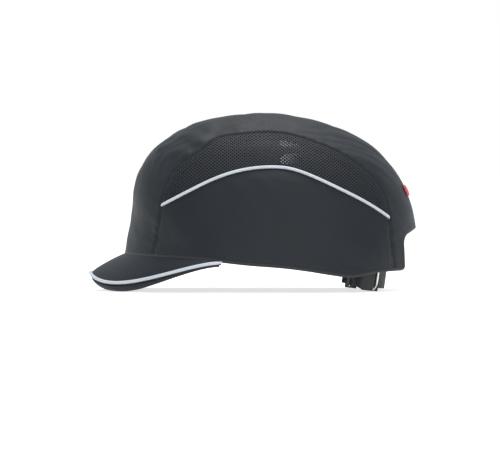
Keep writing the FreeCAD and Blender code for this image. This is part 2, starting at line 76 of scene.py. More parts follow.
class Socket:
    """A shader value that can be used in Python expressions; each operation adds a Math node."""

    def __init__(self, tree: bpy.types.NodeTree, link: bpy.types.NodeSocket) -> None:
        """Wrap one output socket of a node tree."""
        self.tree = tree
        self.link = link

    def math(self, operation: str, *others: "Socket | float") -> "Socket":
        """Apply a Math operation to this value and others.

        Args:
            operation: The Math node's operation.
            others: The other operands.

        Returns:
            The result.
        """
        node = self.tree.nodes.new("ShaderNodeMath")
        node.operation = operation
        for socket, value in zip(node.inputs, [self, *others]):
            if isinstance(value, Socket):
                self.tree.links.new(value.link, socket)
            else:
                socket.default_value = value
        return Socket(self.tree, node.outputs[0])

    def __add__(self, other: "Socket | float") -> "Socket":
        """Add."""
        return self.math("ADD", other)

    __radd__ = __add__

    def __mul__(self, other: "Socket | float") -> "Socket":
        """Multiply."""
        return self.math("MULTIPLY", other)

    __rmul__ = __mul__

    def __abs__(self) -> "Socket":
        """Take the size without its sign."""
        return self.math("ABSOLUTE")

    def sin(self) -> "Socket":
        """Take the sine."""
        return self.math("SINE")


class Nodes:
    """A node tree in the making, and the one method that adds its nodes."""

    def __init__(self, tree: bpy.types.NodeTree) -> None:
        """Work on a node tree."""
        self.tree = tree

    def feed(self, socket: bpy.types.NodeSocket, value: object) -> None:
        """Give an input its value, or the link that it follows.

        Args:
            socket: The input.
            value: A plain value or a wrapped socket.
        """
        if isinstance(value, Socket):
            self.tree.links.new(value.link, socket)
        else:
            socket.default_value = value

    def node(self, kind: str, output: str | int, settings: Optional[dict] = None,
             numbered: Optional[dict[int, object]] = None, **inputs: object) -> Socket:
        """Add any node.

        Args:
            kind: The node's type without its ShaderNode prefix.
            output: The name or number of the output to return.
            settings: Attributes set before the sockets.
            numbered: Values or sockets by input number, where names repeat.
            inputs: Values or sockets by input name, with underscores for spaces.

        Returns:
            The wanted output.
        """
        made = self.tree.nodes.new("ShaderNode" + kind)
        for key, value in (settings or {}).items():
            setattr(made, key, value)
        for number, value in (numbered or {}).items():
            self.feed(made.inputs[number], value)
        for key, value in inputs.items():
            self.feed(made.inputs[key.replace("_", " ")], value)
        return Socket(self.tree, made.outputs[output])


class Shader(Nodes):
    """A material in the making: one Principled shader and the nodes that feed it."""

    def __init__(self, name: str) -> None:
        """Start a material with a Principled shader.

        Args:
            name: The material's name.
        """
        self.material = bpy.data.materials.new(name)
        self.material.use_nodes = True
        super().__init__(self.material.node_tree)
        self.principled = self.tree.nodes["Principled BSDF"]
        self.object = self.node("TexCoord", "Object")
        self.uv = self.node("TexCoord", "UV")

    def noise(self, scale: float, detail: float = 3.0, where: Optional[Socket] = None) -> Socket:
        """Return noise from 0 to 1 at a scale in features per metre."""
        return self.node("TexNoise", "Fac", Vector=where or self.object, Scale=scale, Detail=detail)

    def axes(self, where: Socket) -> tuple[Socket, Socket, Socket]:
        """Split a vector into its three parts."""
        parts = [self.node("SeparateXYZ", axis, Vector=where) for axis in "XYZ"]
        return parts[0], parts[1], parts[2]

    def tones(self, low: Sequence[float], high: Sequence[float], amount: Socket) -> Socket:
        """Mix two colours by an amount from 0 to 1.

        Args:
            low: The colour at 0.
            high: The colour at 1.
            amount: The share of the second colour.

        Returns:
            The mixed colour.
        """
        colours = {0: amount, 6: (*low, 1.0), 7: (*high, 1.0)}
        return self.node("Mix", 2, {"data_type": "RGBA"}, colours)

    def bump(self, height: Socket, distance: float, strength: float = 1.0) -> None:
        """Feed the surface's normal from a height field.

        Args:
            height: The height, from 0 to 1.
            distance: The real height of 1, in metres.
            strength: The share of the effect.
        """
        made = self.node("Bump", "Normal", Height=height, Distance=distance, Strength=strength)
        self.tree.links.new(made.link, self.principled.inputs["Normal"])

    def set(self, **inputs: object) -> None:
        """Set the Principled shader's sockets by name, with underscores for spaces."""
        for key, value in inputs.items():
            self.feed(self.principled.inputs[key.replace("_", " ")], value)


Colour = tuple[float, float, float]


@dataclass(frozen=True)
class WovenFinish:
    """Plain woven cloth whose weave follows the piece's own UV map, which is in metres."""

    name: str
    dark: Colour
    light: Colour
    roughness: float
    yarn_mm: float = 0.42
    depth_mm: float = 0.05
    sheen: float = 0.05

    def material(self) -> bpy.types.Material:
        """Return the cloth's material.

        Returns:
            The material.
        """
        shader = Shader(self.name)
        across, along, _ = shader.axes(shader.uv)
        turns = math.pi / (self.yarn_mm * MM)
        weave = (across * turns).sin() * (along * turns).sin()
        patches = shader.noise(38.0, 4.0)
        fuzz = shader.noise(2600.0, 2.0)
        tone = patches * 0.75 + fuzz * 0.25
        shader.set(
            Base_Color=shader.tones(self.dark, self.light, tone),
            Roughness=self.roughness - 0.07 + 0.14 * patches,
            Sheen_Weight=self.sheen,
            Sheen_Roughness=0.5,
            Specular_IOR_Level=0.3,
        )
        shader.bump(weave * 0.5 + 0.35 * fuzz + 0.5, self.depth_mm * MM)
        return shader.material


@dataclass(frozen=True)
class RibbedFinish:
    """Webbing or tape with ribs across it and a fine twill between them."""

    name: str
    dark: Colour
    light: Colour
    rib_mm: float
    depth_mm: float = 0.12

    def material(self) -> bpy.types.Material:
        """Return the webbing's material.

        Returns:
            The material.
        """
        shader = Shader(self.name)
        along, across, _ = shader.axes(shader.uv)
        turn = 2 * math.pi / (self.rib_mm * MM)
        ribs = abs((along * (turn / 2)).sin())
        twill = abs(((along + across) * turn).sin())
        wear = shader.noise(90.0)
        shader.set(
            Base_Color=shader.tones(self.dark, self.light, ribs * 0.4 + wear * 0.6),
            Roughness=0.66 + 0.16 * wear,
            Sheen_Weight=0.2,
        )
        shader.bump(ribs * 0.7 + twill * 0.3, self.depth_mm * MM)
        return shader.material


@dataclass(frozen=True)
class BeadedFinish:
    """Retroreflective tape: tiny glass beads on a pale ground."""

    name: str
    dark: Colour
    light: Colour

    def material(self) -> bpy.types.Material:
        """Return the tape's material.

        Returns:
            The material.
        """
        shader = Shader(self.name)
        beads = shader.node("TexVoronoi", "Distance", Vector=shader.object, Scale=2400.0)
        scuff = shader.noise(120.0)
        shader.set(
            Base_Color=shader.tones(self.dark, self.light, scuff * 0.5 + beads * 0.7),
            Roughness=0.34 + 0.2 * scuff,
            Specular_IOR_Level=0.6,
        )
        shader.bump(beads, 0.06 * MM)
        return shader.material


@dataclass(frozen=True)
class MouldedFinish:
    """Moulded plastic with a fine spark-eroded grain and faint flow marks."""

    name: str
    dark: Colour
    light: Colour
    roughness: float
    grain_mm: float = 0.5

    def material(self) -> bpy.types.Material:
        """Return the plastic's material.

        Returns:
            The material.
        """
        shader = Shader(self.name)
        grain = shader.noise(1 / (self.grain_mm * MM), 2.0)
        flow = shader.noise(22.0, 5.0)
        shader.set(
            Base_Color=shader.tones(self.dark, self.light, flow * 0.7 + grain * 0.3),
            Roughness=self.roughness - 0.08 + 0.16 * flow,
        )
        shader.bump(grain, 0.05 * MM)
        return shader.material


@dataclass(frozen=True)
class FoamFinish:
    """Closed-cell foam with a skin of small cells."""

    name: str
    dark: Colour
    light: Colour
    cell_mm: float = 1.1

    def material(self) -> bpy.types.Material:
        """Return the foam's material.

        Returns:
            The material.
        """
        shader = Shader(self.name)
        cells = shader.node("TexVoronoi", "Distance", Vector=shader.object, Scale=1 / (self.cell_mm * MM))
        cloud = shader.noise(45.0)
        shader.set(
            Base_Color=shader.tones(self.dark, self.light, cells * 0.5 + cloud * 0.5),
            Roughness=0.78 + 0.12 * cloud,
        )
        shader.bump(cells, 0.12 * MM)
        return shader.material


@dataclass(frozen=True)
class TowelFinish:
    """Looped towelling."""

    name: str
    dark: Colour
    light: Colour

    def material(self) -> bpy.types.Material:
        """Return the towelling's material.

        Returns:
            The material.
        """
        shader = Shader(self.name)
        loops = shader.node("TexVoronoi", "Distance", Vector=shader.object, Scale=900.0)
        tufts = shader.noise(260.0, 4.0)
        shader.set(
            Base_Color=shader.tones(self.dark, self.light, loops * 0.6 + tufts * 0.4),
            Roughness=0.9,
            Sheen_Weight=0.45,
        )
        shader.bump(loops * 0.6 + tufts * 0.6, 0.5 * MM)
        return shader.material


@dataclass(frozen=True)
class MetalFinish:
    """Satin plated steel with fine scratches."""

    name: str
    dark: Colour
    light: Colour
    roughness: float

    def material(self) -> bpy.types.Material:
        """Return the metal's material.

        Returns:
            The material.
        """
        shader = Shader(self.name)
        scratch = shader.noise(1500.0, 5.0)
        stain = shader.noise(160.0)
        shader.set(
            Base_Color=shader.tones(self.dark, self.light, stain * 0.6 + scratch * 0.4),
            Metallic=1.0,
            Roughness=self.roughness - 0.06 + 0.14 * scratch,
        )
        shader.bump(scratch, 0.01 * MM)
        return shader.material


# ------------------------------------------------------------------ curves and the crown's form

class SmoothLine:
    """A smooth line through points, as a natural cubic spline along its chord length."""

    def __init__(self, points: Sequence[Sequence[float]]) -> None:
        """Fit the line through the points.

        Args:
            points: The points that the line goes through.
        """
        self.points = np.array(points, float)
        steps = np.linalg.norm(np.diff(self.points, axis=0), axis=1)
        self.knots = np.concatenate([[0.0], np.cumsum(steps)])
        count = len(self.points)
        system = np.eye(count)
        right = np.zeros_like(self.points)
        for i in range(1, count - 1):
            system[i, i - 1:i + 2] = (steps[i - 1], 2 * (steps[i - 1] + steps[i]), steps[i])
            slopes = np.diff(self.points[i - 1:i + 2], axis=0) / steps[i - 1:i + 1, None]
            right[i] = 6 * (slopes[1] - slopes[0])
        self.bends = np.linalg.solve(system, right)

    def at(self, share: Array) -> Array:
        """Return the points at shares of the length from 0 to 1.

        Args:
            share: Shares of the length.

        Returns:
            The points.
        """
        place = np.clip(np.asarray(share, float), 0, 1) * self.knots[-1]
        i = np.clip(np.searchsorted(self.knots, place, side="right") - 1, 0, len(self.knots) - 2)
        step = (self.knots[i + 1] - self.knots[i])[..., None]
        ahead = (self.knots[i + 1] - place)[..., None]
        behind = (place - self.knots[i])[..., None]
        low, high = self.points[i], self.points[i + 1]
        return (self.bends[i] * ahead ** 3 / (6 * step) + self.bends[i + 1] * behind ** 3 / (6 * step)
                + (low / step - self.bends[i] * step / 6) * ahead
                + (high / step - self.bends[i + 1] * step / 6) * behind)

    def samples(self, count: int) -> Array:
        """Return evenly spaced points along the line."""
        return self.at(np.linspace(0, 1, count))


@dataclass
class CrownForm:
    """The dome of the crown: a side profile that shrinks towards both sides."""

    front: float = 108.4
    rear: float = 138.5
    height: float = 150.0
    width: float = 190.0
    power: float = 2.5
    centre: tuple[float, float] = (12.0, -30.0)
    profile: tuple[tuple[float, float], ...] = (
        (-1.035, -0.20), (-1.0, 0.21), (-0.944, 0.453), (-0.918, 0.61), (-0.78, 0.793),
        (-0.461, 0.94), (0.0, 1.0), (0.376, 0.963), (0.672, 0.85), (0.875, 0.68),
        (0.985, 0.453), (1.014, 0.16), (1.03, -0.20),
    )
    rim_shares: tuple[tuple[float, float], ...] = (
        (-1.25, 0.215), (-0.99, 0.21), (-0.76, 0.204), (-0.35, 0.187), (-0.1, 0.166), (0.22, 0.142),
        (0.51, 0.102), (0.60, 0.094), (0.735, 0.115), (0.91, 0.127), (1.2, 0.127),
    )
    piping_shares: tuple[tuple[float, float], ...] = (
        (-0.706, 0.482), (-0.45, 0.578), (-0.254, 0.643), (0.0, 0.69), (0.10, 0.697),
        (0.21, 0.691), (0.333, 0.657), (0.49, 0.592), (0.766, 0.455), (0.831, 0.413),
    )
    mesh_shares: tuple[tuple[float, float], ...] = (
        (-0.706, 0.482), (-0.653, 0.607), (-0.52, 0.731), (-0.402, 0.788), (-0.292, 0.853),
        (-0.138, 0.879), (0.21, 0.883), (0.333, 0.853), (0.539, 0.773), (0.693, 0.672),
        (0.797, 0.542), (0.831, 0.413),
    )
    front_foot: tuple[float, float] = (-0.80, 0.03)
    rear_foot: tuple[float, float] = (0.866, 0.03)
    arch_half: float = 45.0
    arch_top: float = 54.0
    arch_side: float = 47.0
    arch_corner: float = 8.0
    headings: Array = field(init=False)
    radii: Array = field(init=False)

    def __post_init__(self) -> None:
        """Work out the profile's radius by heading, and the lines on the side."""
        outline = SmoothLine([self.on_side(share) for share in self.profile]).samples(1600)
        seen = outline - np.array(self.centre)
        order = np.argsort(np.arctan2(seen[:, 1], seen[:, 0]))
        self.headings = np.arctan2(seen[:, 1], seen[:, 0])[order]
        self.radii = np.hypot(seen[:, 0], seen[:, 1])[order]
        self.rear_outline = outline[outline[:, 0] > self.centre[0]][::-1]
        self.piping = SmoothLine([self.on_side(share) for share in self.piping_shares])
        self.mesh_top = SmoothLine([self.on_side(share) for share in self.mesh_shares])
        self.rim_line = SmoothLine([self.on_side(share) for share in self.rim_shares]).samples(600)
        share = np.linspace(0, 1, 80)[:-1, None]
        edge = self.mesh_top.samples(300)
        front, rear = np.array(self.on_side(self.front_foot)), np.array(self.on_side(self.rear_foot))
        seam = np.vstack([front + (edge[0] - front) * share, edge,
                          (rear + (edge[-1] - rear) * share)[::-1]]) - np.array(self.centre)
        self.seam_heading = np.arctan2(seam[:, 1], seam[:, 0])[::-1]
        self.seam_radius = np.hypot(seam[:, 0], seam[:, 1])[::-1]

    def on_side(self, share: Sequence[float]) -> tuple[float, float]:
        """Return the side-view point at a share of the crown's reach and height."""
        reach = self.front if share[0] < 0 else self.rear
        return share[0] * reach, share[1] * self.height

    def rim(self, x: Array) -> Array:
        """Return the height of the crown's lower edge at x."""
        return np.interp(x, self.rim_line[:, 0], self.rim_line[:, 1])

    def spread(self, x: Array, z: Array) -> Array:
        """Return half the crown's width where the side view shows x, z.

        Args:
            x: Places along the cap.
            z: Heights.

        Returns:
            Half the width at each.
        """
        dx, dz = x - self.centre[0], z - self.centre[1]
        scale = np.hypot(dx, dz) / np.interp(np.arctan2(dz, dx), self.headings, self.radii)
        return self.width / 2 * np.sqrt(np.clip(1 - scale ** self.power, 0, 1))

    def by_turn(self, heading: Array, turn: Array) -> Array:
        """Return surface points by heading in the side view and turn across it, both in radians.

        Args:
            heading: Headings in the side view.
            turn: Turns across it.

        Returns:
            The surface points.
        """
        scale = np.cos(turn) ** (2 / self.power)
        radius = np.interp(heading, self.headings, self.radii) * scale
        return np.stack([self.centre[0] + radius * np.cos(heading), self.width / 2 * np.sin(turn),
                         self.centre[1] + radius * np.sin(heading)], axis=-1)

    def seam_turn(self, heading: Array) -> Array:
        """Return the turn at which the crown panel's side seam crosses a heading.

        Args:
            heading: Headings in the side view.

        Returns:
            The turn at each.
        """
        bound = np.interp(heading, self.seam_heading, self.seam_radius)
        scale = np.clip(bound / np.interp(heading, self.headings, self.radii), 0.0, 1.0)
        return np.arccos(scale ** (self.power / 2))

    def normals(self, points: Array) -> Array:
        """Return the outward normals at surface points.

        Args:
            points: Points on the surface.

        Returns:
            Outward directions of length 1.
        """
        dx, dz = points[..., 0] - self.centre[0], points[..., 2] - self.centre[1]

        def scale(x: Array, z: Array) -> Array:
            """Return the section's size at a side-view point, raised to the form's power."""
            return (np.hypot(x, z) / np.interp(np.arctan2(z, x), self.headings, self.radii)) ** self.power

        step = 0.5
        slope = np.stack([(scale(dx + step, dz) - scale(dx - step, dz)) / (2 * step),
                          8 * points[..., 1] / self.width ** 2,
                          (scale(dx, dz + step) - scale(dx, dz - step)) / (2 * step)], axis=-1)
        return slope / np.maximum(np.linalg.norm(slope, axis=-1, keepdims=True), 1e-9)

    def raised(self, points: Array, rise: Array | float) -> Array:
        """Return surface points moved out along the normal by a rise."""
        return points + self.normals(points) * np.asarray(rise)[..., None]

    def from_side(self, x: Array, z: Array, side: Side, rise: Array | float = 0.0) -> Array:
        """Return the surface points that the side view shows at x, z, raised along the normal."""
        points = np.stack([x, side.value * self.spread(x, z), z], axis=-1)
        return self.raised(points, rise)

    def arch_height(self, y: Array) -> Array:
        """Return the height of the rear opening's edge at y, down to its straight sides.

        Args:
            y: Places across the cap.

        Returns:
            The edge's height at each.
        """
        sag = self.arch_top - self.arch_side
        radius = (self.arch_half ** 2 + sag ** 2) / (2 * sag)
        reach = np.minimum(np.abs(y), self.arch_half)
        top = self.arch_top - radius + np.sqrt(radius ** 2 - reach ** 2)
        into = np.clip(reach - (self.arch_half - self.arch_corner), 0, self.arch_corner)
        return top - self.arch_corner + np.sqrt(self.arch_corner ** 2 - into ** 2)

    def rear_x(self, y: Array, z: Array) -> Array:
        """Return x on the back of the crown at y, z.

        Args:
            y: Places across the cap.
            z: Heights.

        Returns:
            The surface's x at each.
        """
        scale = (1 - (2 * np.abs(y) / self.width) ** 2) ** (1 / self.power)
        height = self.centre[1] + (z - self.centre[1]) / scale
        reach = np.interp(height, self.rear_outline[:, 1], self.rear_outline[:, 0])
        return self.centre[0] + scale * (reach - self.centre[0])


FORM = CrownForm()


# ------------------------------------------------------------------ modelling helpers

def clear_selection() -> None:
    """Leave edit mode and deselect everything."""
    if bpy.context.object and bpy.context.object.mode != "OBJECT":
        bpy.ops.object.mode_set(mode="OBJECT")
    bpy.ops.object.select_all(action="DESELECT")


def activate(piece: bpy.types.Object) -> None:
    """Make one object the only selected and active one.

    Args:
        piece: The object.
    """
    clear_selection()
    piece.select_set(True)
    bpy.context.view_layer.objects.active = piece


def apply_modifier(piece: bpy.types.Object, kind: str, **settings: object) -> None:
    """Add a modifier with its settings and apply it at once.

    Args:
        piece: The object.
        kind: The modifier's type.
        settings: The modifier's settings.
    """
    activate(piece)
    modifier = piece.modifiers.new(kind.title(), kind)
    for key, value in settings.items():
        setattr(modifier, key, value)
    bpy.ops.object.modifier_apply(modifier=modifier.name)


def smooth(piece: bpy.types.Object, degrees: float = 40.0) -> None:
    """Shade a piece smooth below an angle."""
    activate(piece)
    bpy.ops.object.shade_smooth_by_angle(angle=math.radians(degrees))


def cloth_grid(name: str, columns: int, rows: int, place: Callable[[Array, Array], Array],
               size_mm: tuple[float, float], outward: Optional[Callable[[Array], Array]] = None
               ) -> bpy.types.Object:
    """Add a flat grid and move its points to where the cloth lies.

    Args:
        name: The piece's name.
        columns: Faces along u.
        rows: Faces along v.
        place: Gives points in millimetres for u and v from 0 to 1.
        size_mm: The cloth's length along u and v, for its UV map in metres.
        outward: Gives outward directions at points, to turn the faces by.

    Returns:
        The new object, at the origin.
    """
    clear_selection()
    bpy.ops.mesh.primitive_grid_add(x_subdivisions=columns, y_subdivisions=rows, size=1.0)
    piece = bpy.context.object
    piece.name = piece.data.name = name
    mesh = piece.data
    flat = np.zeros(len(mesh.vertices) * 3)
    mesh.vertices.foreach_get("co", flat)
    flat = flat.reshape(-1, 3)
    points = place(flat[:, 0] + 0.5, flat[:, 1] + 0.5)
    layer = mesh.uv_layers.active or mesh.uv_layers.new(name="UVMap")
    corners = np.zeros(len(mesh.loops), int)
    mesh.loops.foreach_get("vertex_index", corners)
    uv = (flat[corners, :2] + 0.5) * np.array(size_mm) * MM
    layer.data.foreach_set("uv", uv.ravel())
    mesh.vertices.foreach_set("co", (points * MM).ravel())
    mesh.update()
    if outward is not None:
        centres = np.array([face.center for face in mesh.polygons]) / MM
        faces = np.array([face.normal for face in mesh.polygons])
        if (faces * outward(centres)).sum() < 0:
            mesh.flip_normals()
    return piece


def cloth_area(piece: bpy.types.Object) -> float:
    """Return the area of a piece's faces in square metres, before the cloth has a thickness."""
    return sum(face.area for face in piece.data.polygons)


def weld(piece: bpy.types.Object, distance_mm: float = 0.03) -> None:
    """Merge the doubled points of a piece and turn its faces outwards.

    Args:
        piece: The object.
        distance_mm: How near two points are to be merged.
    """
    activate(piece)
    bpy.ops.object.mode_set(mode="EDIT")
    bpy.ops.mesh.select_all(action="SELECT")
    bpy.ops.mesh.remove_doubles(threshold=distance_mm * MM)
    bpy.ops.mesh.normals_make_consistent(inside=False)
    bpy.ops.object.mode_set(mode="OBJECT")


def join(pieces: Sequence[bpy.types.Object], name: str) -> bpy.types.Object:
    """Join pieces into the first one and name it.

    Args:
        pieces: The objects.
        name: The name of the whole.

    Returns:
        The first object, which now holds them all.
    """
    activate(pieces[0])
    for piece in pieces[1:]:
        piece.select_set(True)
    bpy.ops.object.join()
    pieces[0].name = pieces[0].data.name = name
    return pieces[0]


def frames_along(path: Array, closed: bool) -> tuple[Array, Array]:
    """Return two directions across a path at each of its points, carried without twist.

    Args:
        path: The path's points.
        closed: Whether the path joins up with itself.

    Returns:
        The directions across and over the path.
    """
    if closed:
        tangents = np.roll(path, -1, axis=0) - np.roll(path, 1, axis=0)
    else:
        tangents = np.gradient(path, axis=0)
    tangents /= np.linalg.norm(tangents, axis=1, keepdims=True)
    first = np.cross(tangents[0], (0.0, 0.0, 1.0))
    if np.linalg.norm(first) < 0.1:
        first = np.cross(tangents[0], (0.0, 1.0, 0.0))
    across = [first / np.linalg.norm(first)]
    for tangent in tangents[1:]:
        carried = across[-1] - tangent * np.dot(across[-1], tangent)
        across.append(carried / np.linalg.norm(carried))
    over = np.cross(tangents, np.array(across))
    return np.array(across), over


def tube(name: str, path: Array, radius: Callable[[Array], Array], closed: bool = False, sides: int = 12
         ) -> bpy.types.Object:
    """Return a round tube along a path in millimetres, with closed ends, rounded off only where the radius
    shrinks there.

    Args:
        name: The piece's name.
        path: Points along the middle.
        radius: Gives the radius for shares of the length from 0 to 1.
        closed: Whether the path joins up with itself.
        sides: Faces round the tube.

    Returns:
        The tube.
    """
    ring = np.vstack([path, path[:1]]) if closed else path
    across, over = frames_along(path, closed)
    if closed:
        across, over = np.vstack([across, across[:1]]), np.vstack([over, over[:1]])
    length = float(np.linalg.norm(np.diff(ring, axis=0), axis=1).sum())
    steps = len(ring) - 1

    def place(u: Array, v: Array) -> Array:
        """Place the points.

        Args:
            u: Shares along the piece.
            v: Shares across it.

        Returns:
            The points, in millimetres.
        """
        i = np.clip(np.rint(u * steps).astype(int), 0, steps)
        turn = 2 * math.pi * v
        reach = radius(u)[:, None]
        return ring[i] + reach * (across[i] * np.cos(turn)[:, None] + over[i] * np.sin(turn)[:, None])

    widest = float(radius(np.array([0.5]))[0])
    piece = cloth_grid(name, steps, sides, place, (length, 2 * math.pi * widest))
    activate(piece)
    bpy.ops.object.mode_set(mode="EDIT")
    bpy.ops.mesh.select_all(action="SELECT")
    bpy.ops.mesh.remove_doubles(threshold=0.002 * MM)
    if not closed:
        bpy.ops.mesh.fill_holes(sides=sides + 2)
    bpy.ops.mesh.normals_make_consistent(inside=False)
    bpy.ops.object.mode_set(mode="OBJECT")
    smooth(piece, 60)
    return piece


def rounded_ends(thick: float, share: float = 0.01) -> Callable[[Array], Array]:
    """Return a tube radius that rounds off to a small end on both sides.

    Args:
        thick: The radius away from the ends.
        share: The share of the length that each end takes.

    Returns:
        The radius as a function of the share of the length.
    """
    def radius(u: Array) -> Array:
        """Return the radius at shares of the length."""
        near = np.clip(np.minimum(u, 1 - u) / share, 0, 1)
        return thick * np.maximum(np.sqrt(1 - (1 - near) ** 2), 0.08)
    return radius


def stitches(name: str, path: Array, outward: Array, pitch: float = 3.0, length: float = 2.1,
             thick: float = 0.34) -> bpy.types.Object:
    """Return a row of raised stitches along a path.

    Args:
        name: The piece's name.
        path: Points on the cloth, in millimetres.
        outward: The cloth's outward direction at each point.
        pitch: The distance from stitch to stitch.
        length: A stitch's length.
        thick: The thread's thickness.

    Returns:
        The row as one mesh.
    """
    steps = np.linalg.norm(np.diff(path, axis=0), axis=1)
    along = np.concatenate([[0.0], np.cumsum(steps)])
    count = max(1, int(along[-1] / pitch))
    verts, faces = [], []
    shape = [(-0.5, 0.0), (-0.32, 0.85), (0.0, 1.0), (0.32, 0.85), (0.5, 0.0)]
    for index in range(count):
        middle = (index + 0.5) * along[-1] / count
        base = len(verts)
        for share, height in shape:
            place = middle + share * length
            point = np.array([np.interp(place, along, path[:, axis]) for axis in range(3)])
            up = np.array([np.interp(place, along, outward[:, axis]) for axis in range(3)])
            ahead = np.array([np.interp(place + 0.3, along, path[:, axis]) for axis in range(3)]) - point
            if np.linalg.norm(ahead) < 1e-6:
                ahead = path[-1] - path[-2]
            wide = np.cross(up, ahead)
            wide /= np.linalg.norm(wide)
            up /= np.linalg.norm(up)
            half = thick / 2 * (0.55 + 0.45 * height)
            lift = thick * (height - 0.45)
            verts += [point - wide * half + up * (lift - half), point + wide * half + up * (lift - half),
                      point + wide * half * 0.7 + up * lift, point - wide * half * 0.7 + up * lift]
        for ring in range(len(shape) - 1):
            a, b = base + 4 * ring, base + 4 * ring + 4
            faces += [(a + k, a + (k + 1) % 4, b + (k + 1) % 4, b + k) for k in range(4)]
        far_end = base + 4 * (len(shape) - 1)
        faces += [(base + 3, base + 2, base + 1, base), tuple(far_end + k for k in range(4))]
    mesh = bpy.data.meshes.new(name)
    mesh.from_pydata([tuple(np.array(v) * MM) for v in verts], [], faces)
    piece = bpy.data.objects.new(name, mesh)
    bpy.context.scene.collection.objects.link(piece)
    weld(piece, 0.001)
    smooth(piece, 50)
    return piece


def dress(piece: bpy.types.Object, material: bpy.types.Material, body: str,
          nodes: Sequence[str] = ()) -> bpy.types.Object:
    """Give a piece its material, slot and body, and hide the CAD nodes it stands for.

    Args:
        piece: The piece.
        material: Its material.
        body: The body it rides on.
        nodes: The solids it stands for.

    Returns:
        The piece.
    """
    piece.data.materials.clear()
    piece.data.materials.append(material)
    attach(piece, body)
    if nodes:
        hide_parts(*nodes)
    log.info("%s: %d faces on %s", piece.name, len(piece.data.polygons), body)
    return piece


def bundled(u: Array, strength: float = 0.6) -> Array:
    """Return shares from 0 to 1 with more lines near both ends."""
    return u - strength * np.sin(2 * math.pi * u) / (2 * math.pi)


def ripples(points: Array, stretch: Sequence[float], seed: float) -> Array:
    """Return smooth noise from about -1 to 1 at points in millimetres, stretched along each axis."""
    return np.array([noise.noise(Vector((p[0] / stretch[0] + seed, p[1] / stretch[1], p[2] / stretch[2])))
                     for p in points])


def seam_dip(distance: Array, depth: float, reach: float) -> Array:
    """Return how far cloth is drawn in at a distance from its seam."""
    return depth * np.exp(-(distance / reach) ** 2)


# ------------------------------------------------------------------ materials of this cap

@dataclass(frozen=True)
class Finishes:
    """Every finish on the cap."""

    outer_fabric: WovenFinish = WovenFinish(
        "outer_fabric", (0.0085, 0.0108, 0.0150), (0.0145, 0.0178, 0.0235), 0.50)
    # The brim's cloth is the crown's cloth made bluer and also a little lighter: the bluer tone is its
    # colour, and the lighter tone is painted sheen standing in for the light the brim catches.
    brim_fabric_painted_sheen: WovenFinish = WovenFinish(
        "brim_fabric_painted_sheen", (0.0095, 0.0130, 0.0200), (0.0160, 0.0205, 0.0290), 0.50)
    net_yarn: WovenFinish = WovenFinish(
        "net_yarn", (0.0110, 0.0135, 0.0190), (0.0180, 0.0215, 0.0285), 0.55, 0.3, 0.03)
    thread: WovenFinish = WovenFinish("thread", (0.030, 0.032, 0.036), (0.050, 0.053, 0.060), 0.5, 0.15, 0.02)
    red_thread: WovenFinish = WovenFinish(
        "red_thread", (0.40, 0.02, 0.02), (0.55, 0.04, 0.03), 0.55, 0.15, 0.02)
    tape: RibbedFinish = RibbedFinish("binding_tape", (0.014, 0.015, 0.017), (0.028, 0.030, 0.033), 0.9, 0.08)
    red_tab: RibbedFinish = RibbedFinish("red_tab", (0.42, 0.012, 0.014), (0.60, 0.030, 0.028), 0.7, 0.06)
    webbing: RibbedFinish = RibbedFinish("webbing", (0.012, 0.012, 0.014), (0.030, 0.031, 0.034), 1.3)
    reflective: BeadedFinish = BeadedFinish("reflective_piping", (0.58, 0.62, 0.68), (0.78, 0.81, 0.86))
    board: MouldedFinish = MouldedFinish("board_plastic", (0.03, 0.03, 0.03), (0.05, 0.05, 0.05), 0.5)
    shell: MouldedFinish = MouldedFinish("shell_plastic", (0.018, 0.019, 0.021), (0.032, 0.033, 0.036), 0.38)
    headband: MouldedFinish = MouldedFinish(
        "headband_plastic", (0.020, 0.021, 0.023), (0.034, 0.035, 0.038), 0.42)
    anchor: MouldedFinish = MouldedFinish(
        "anchor_plastic", (0.016, 0.016, 0.018), (0.028, 0.028, 0.031), 0.40)
    foam: FoamFinish = FoamFinish("foam", (0.035, 0.036, 0.040), (0.060, 0.061, 0.066))
    towel: TowelFinish = TowelFinish("towelling", (0.030, 0.031, 0.035), (0.065, 0.067, 0.073))
    rivet: MetalFinish = MetalFinish("rivet_steel", (0.50, 0.50, 0.51), (0.66, 0.66, 0.67), 0.32)
    slider: MetalFinish = MetalFinish("slider_steel", (0.62, 0.60, 0.56), (0.80, 0.78, 0.74), 0.28)


FINISHES = Finishes()
_made: dict[str, bpy.types.Material] = {}


def finish(name: str) -> bpy.types.Material:
    """Return the material of one of the cap's finishes, made once.

    Args:
        name: The finish's name.

    Returns:
        Its material.
    """
    if name not in _made:
        _made[name] = getattr(FINISHES, name).material()
    return _made[name]


# ------------------------------------------------------------------ the crown's cloth

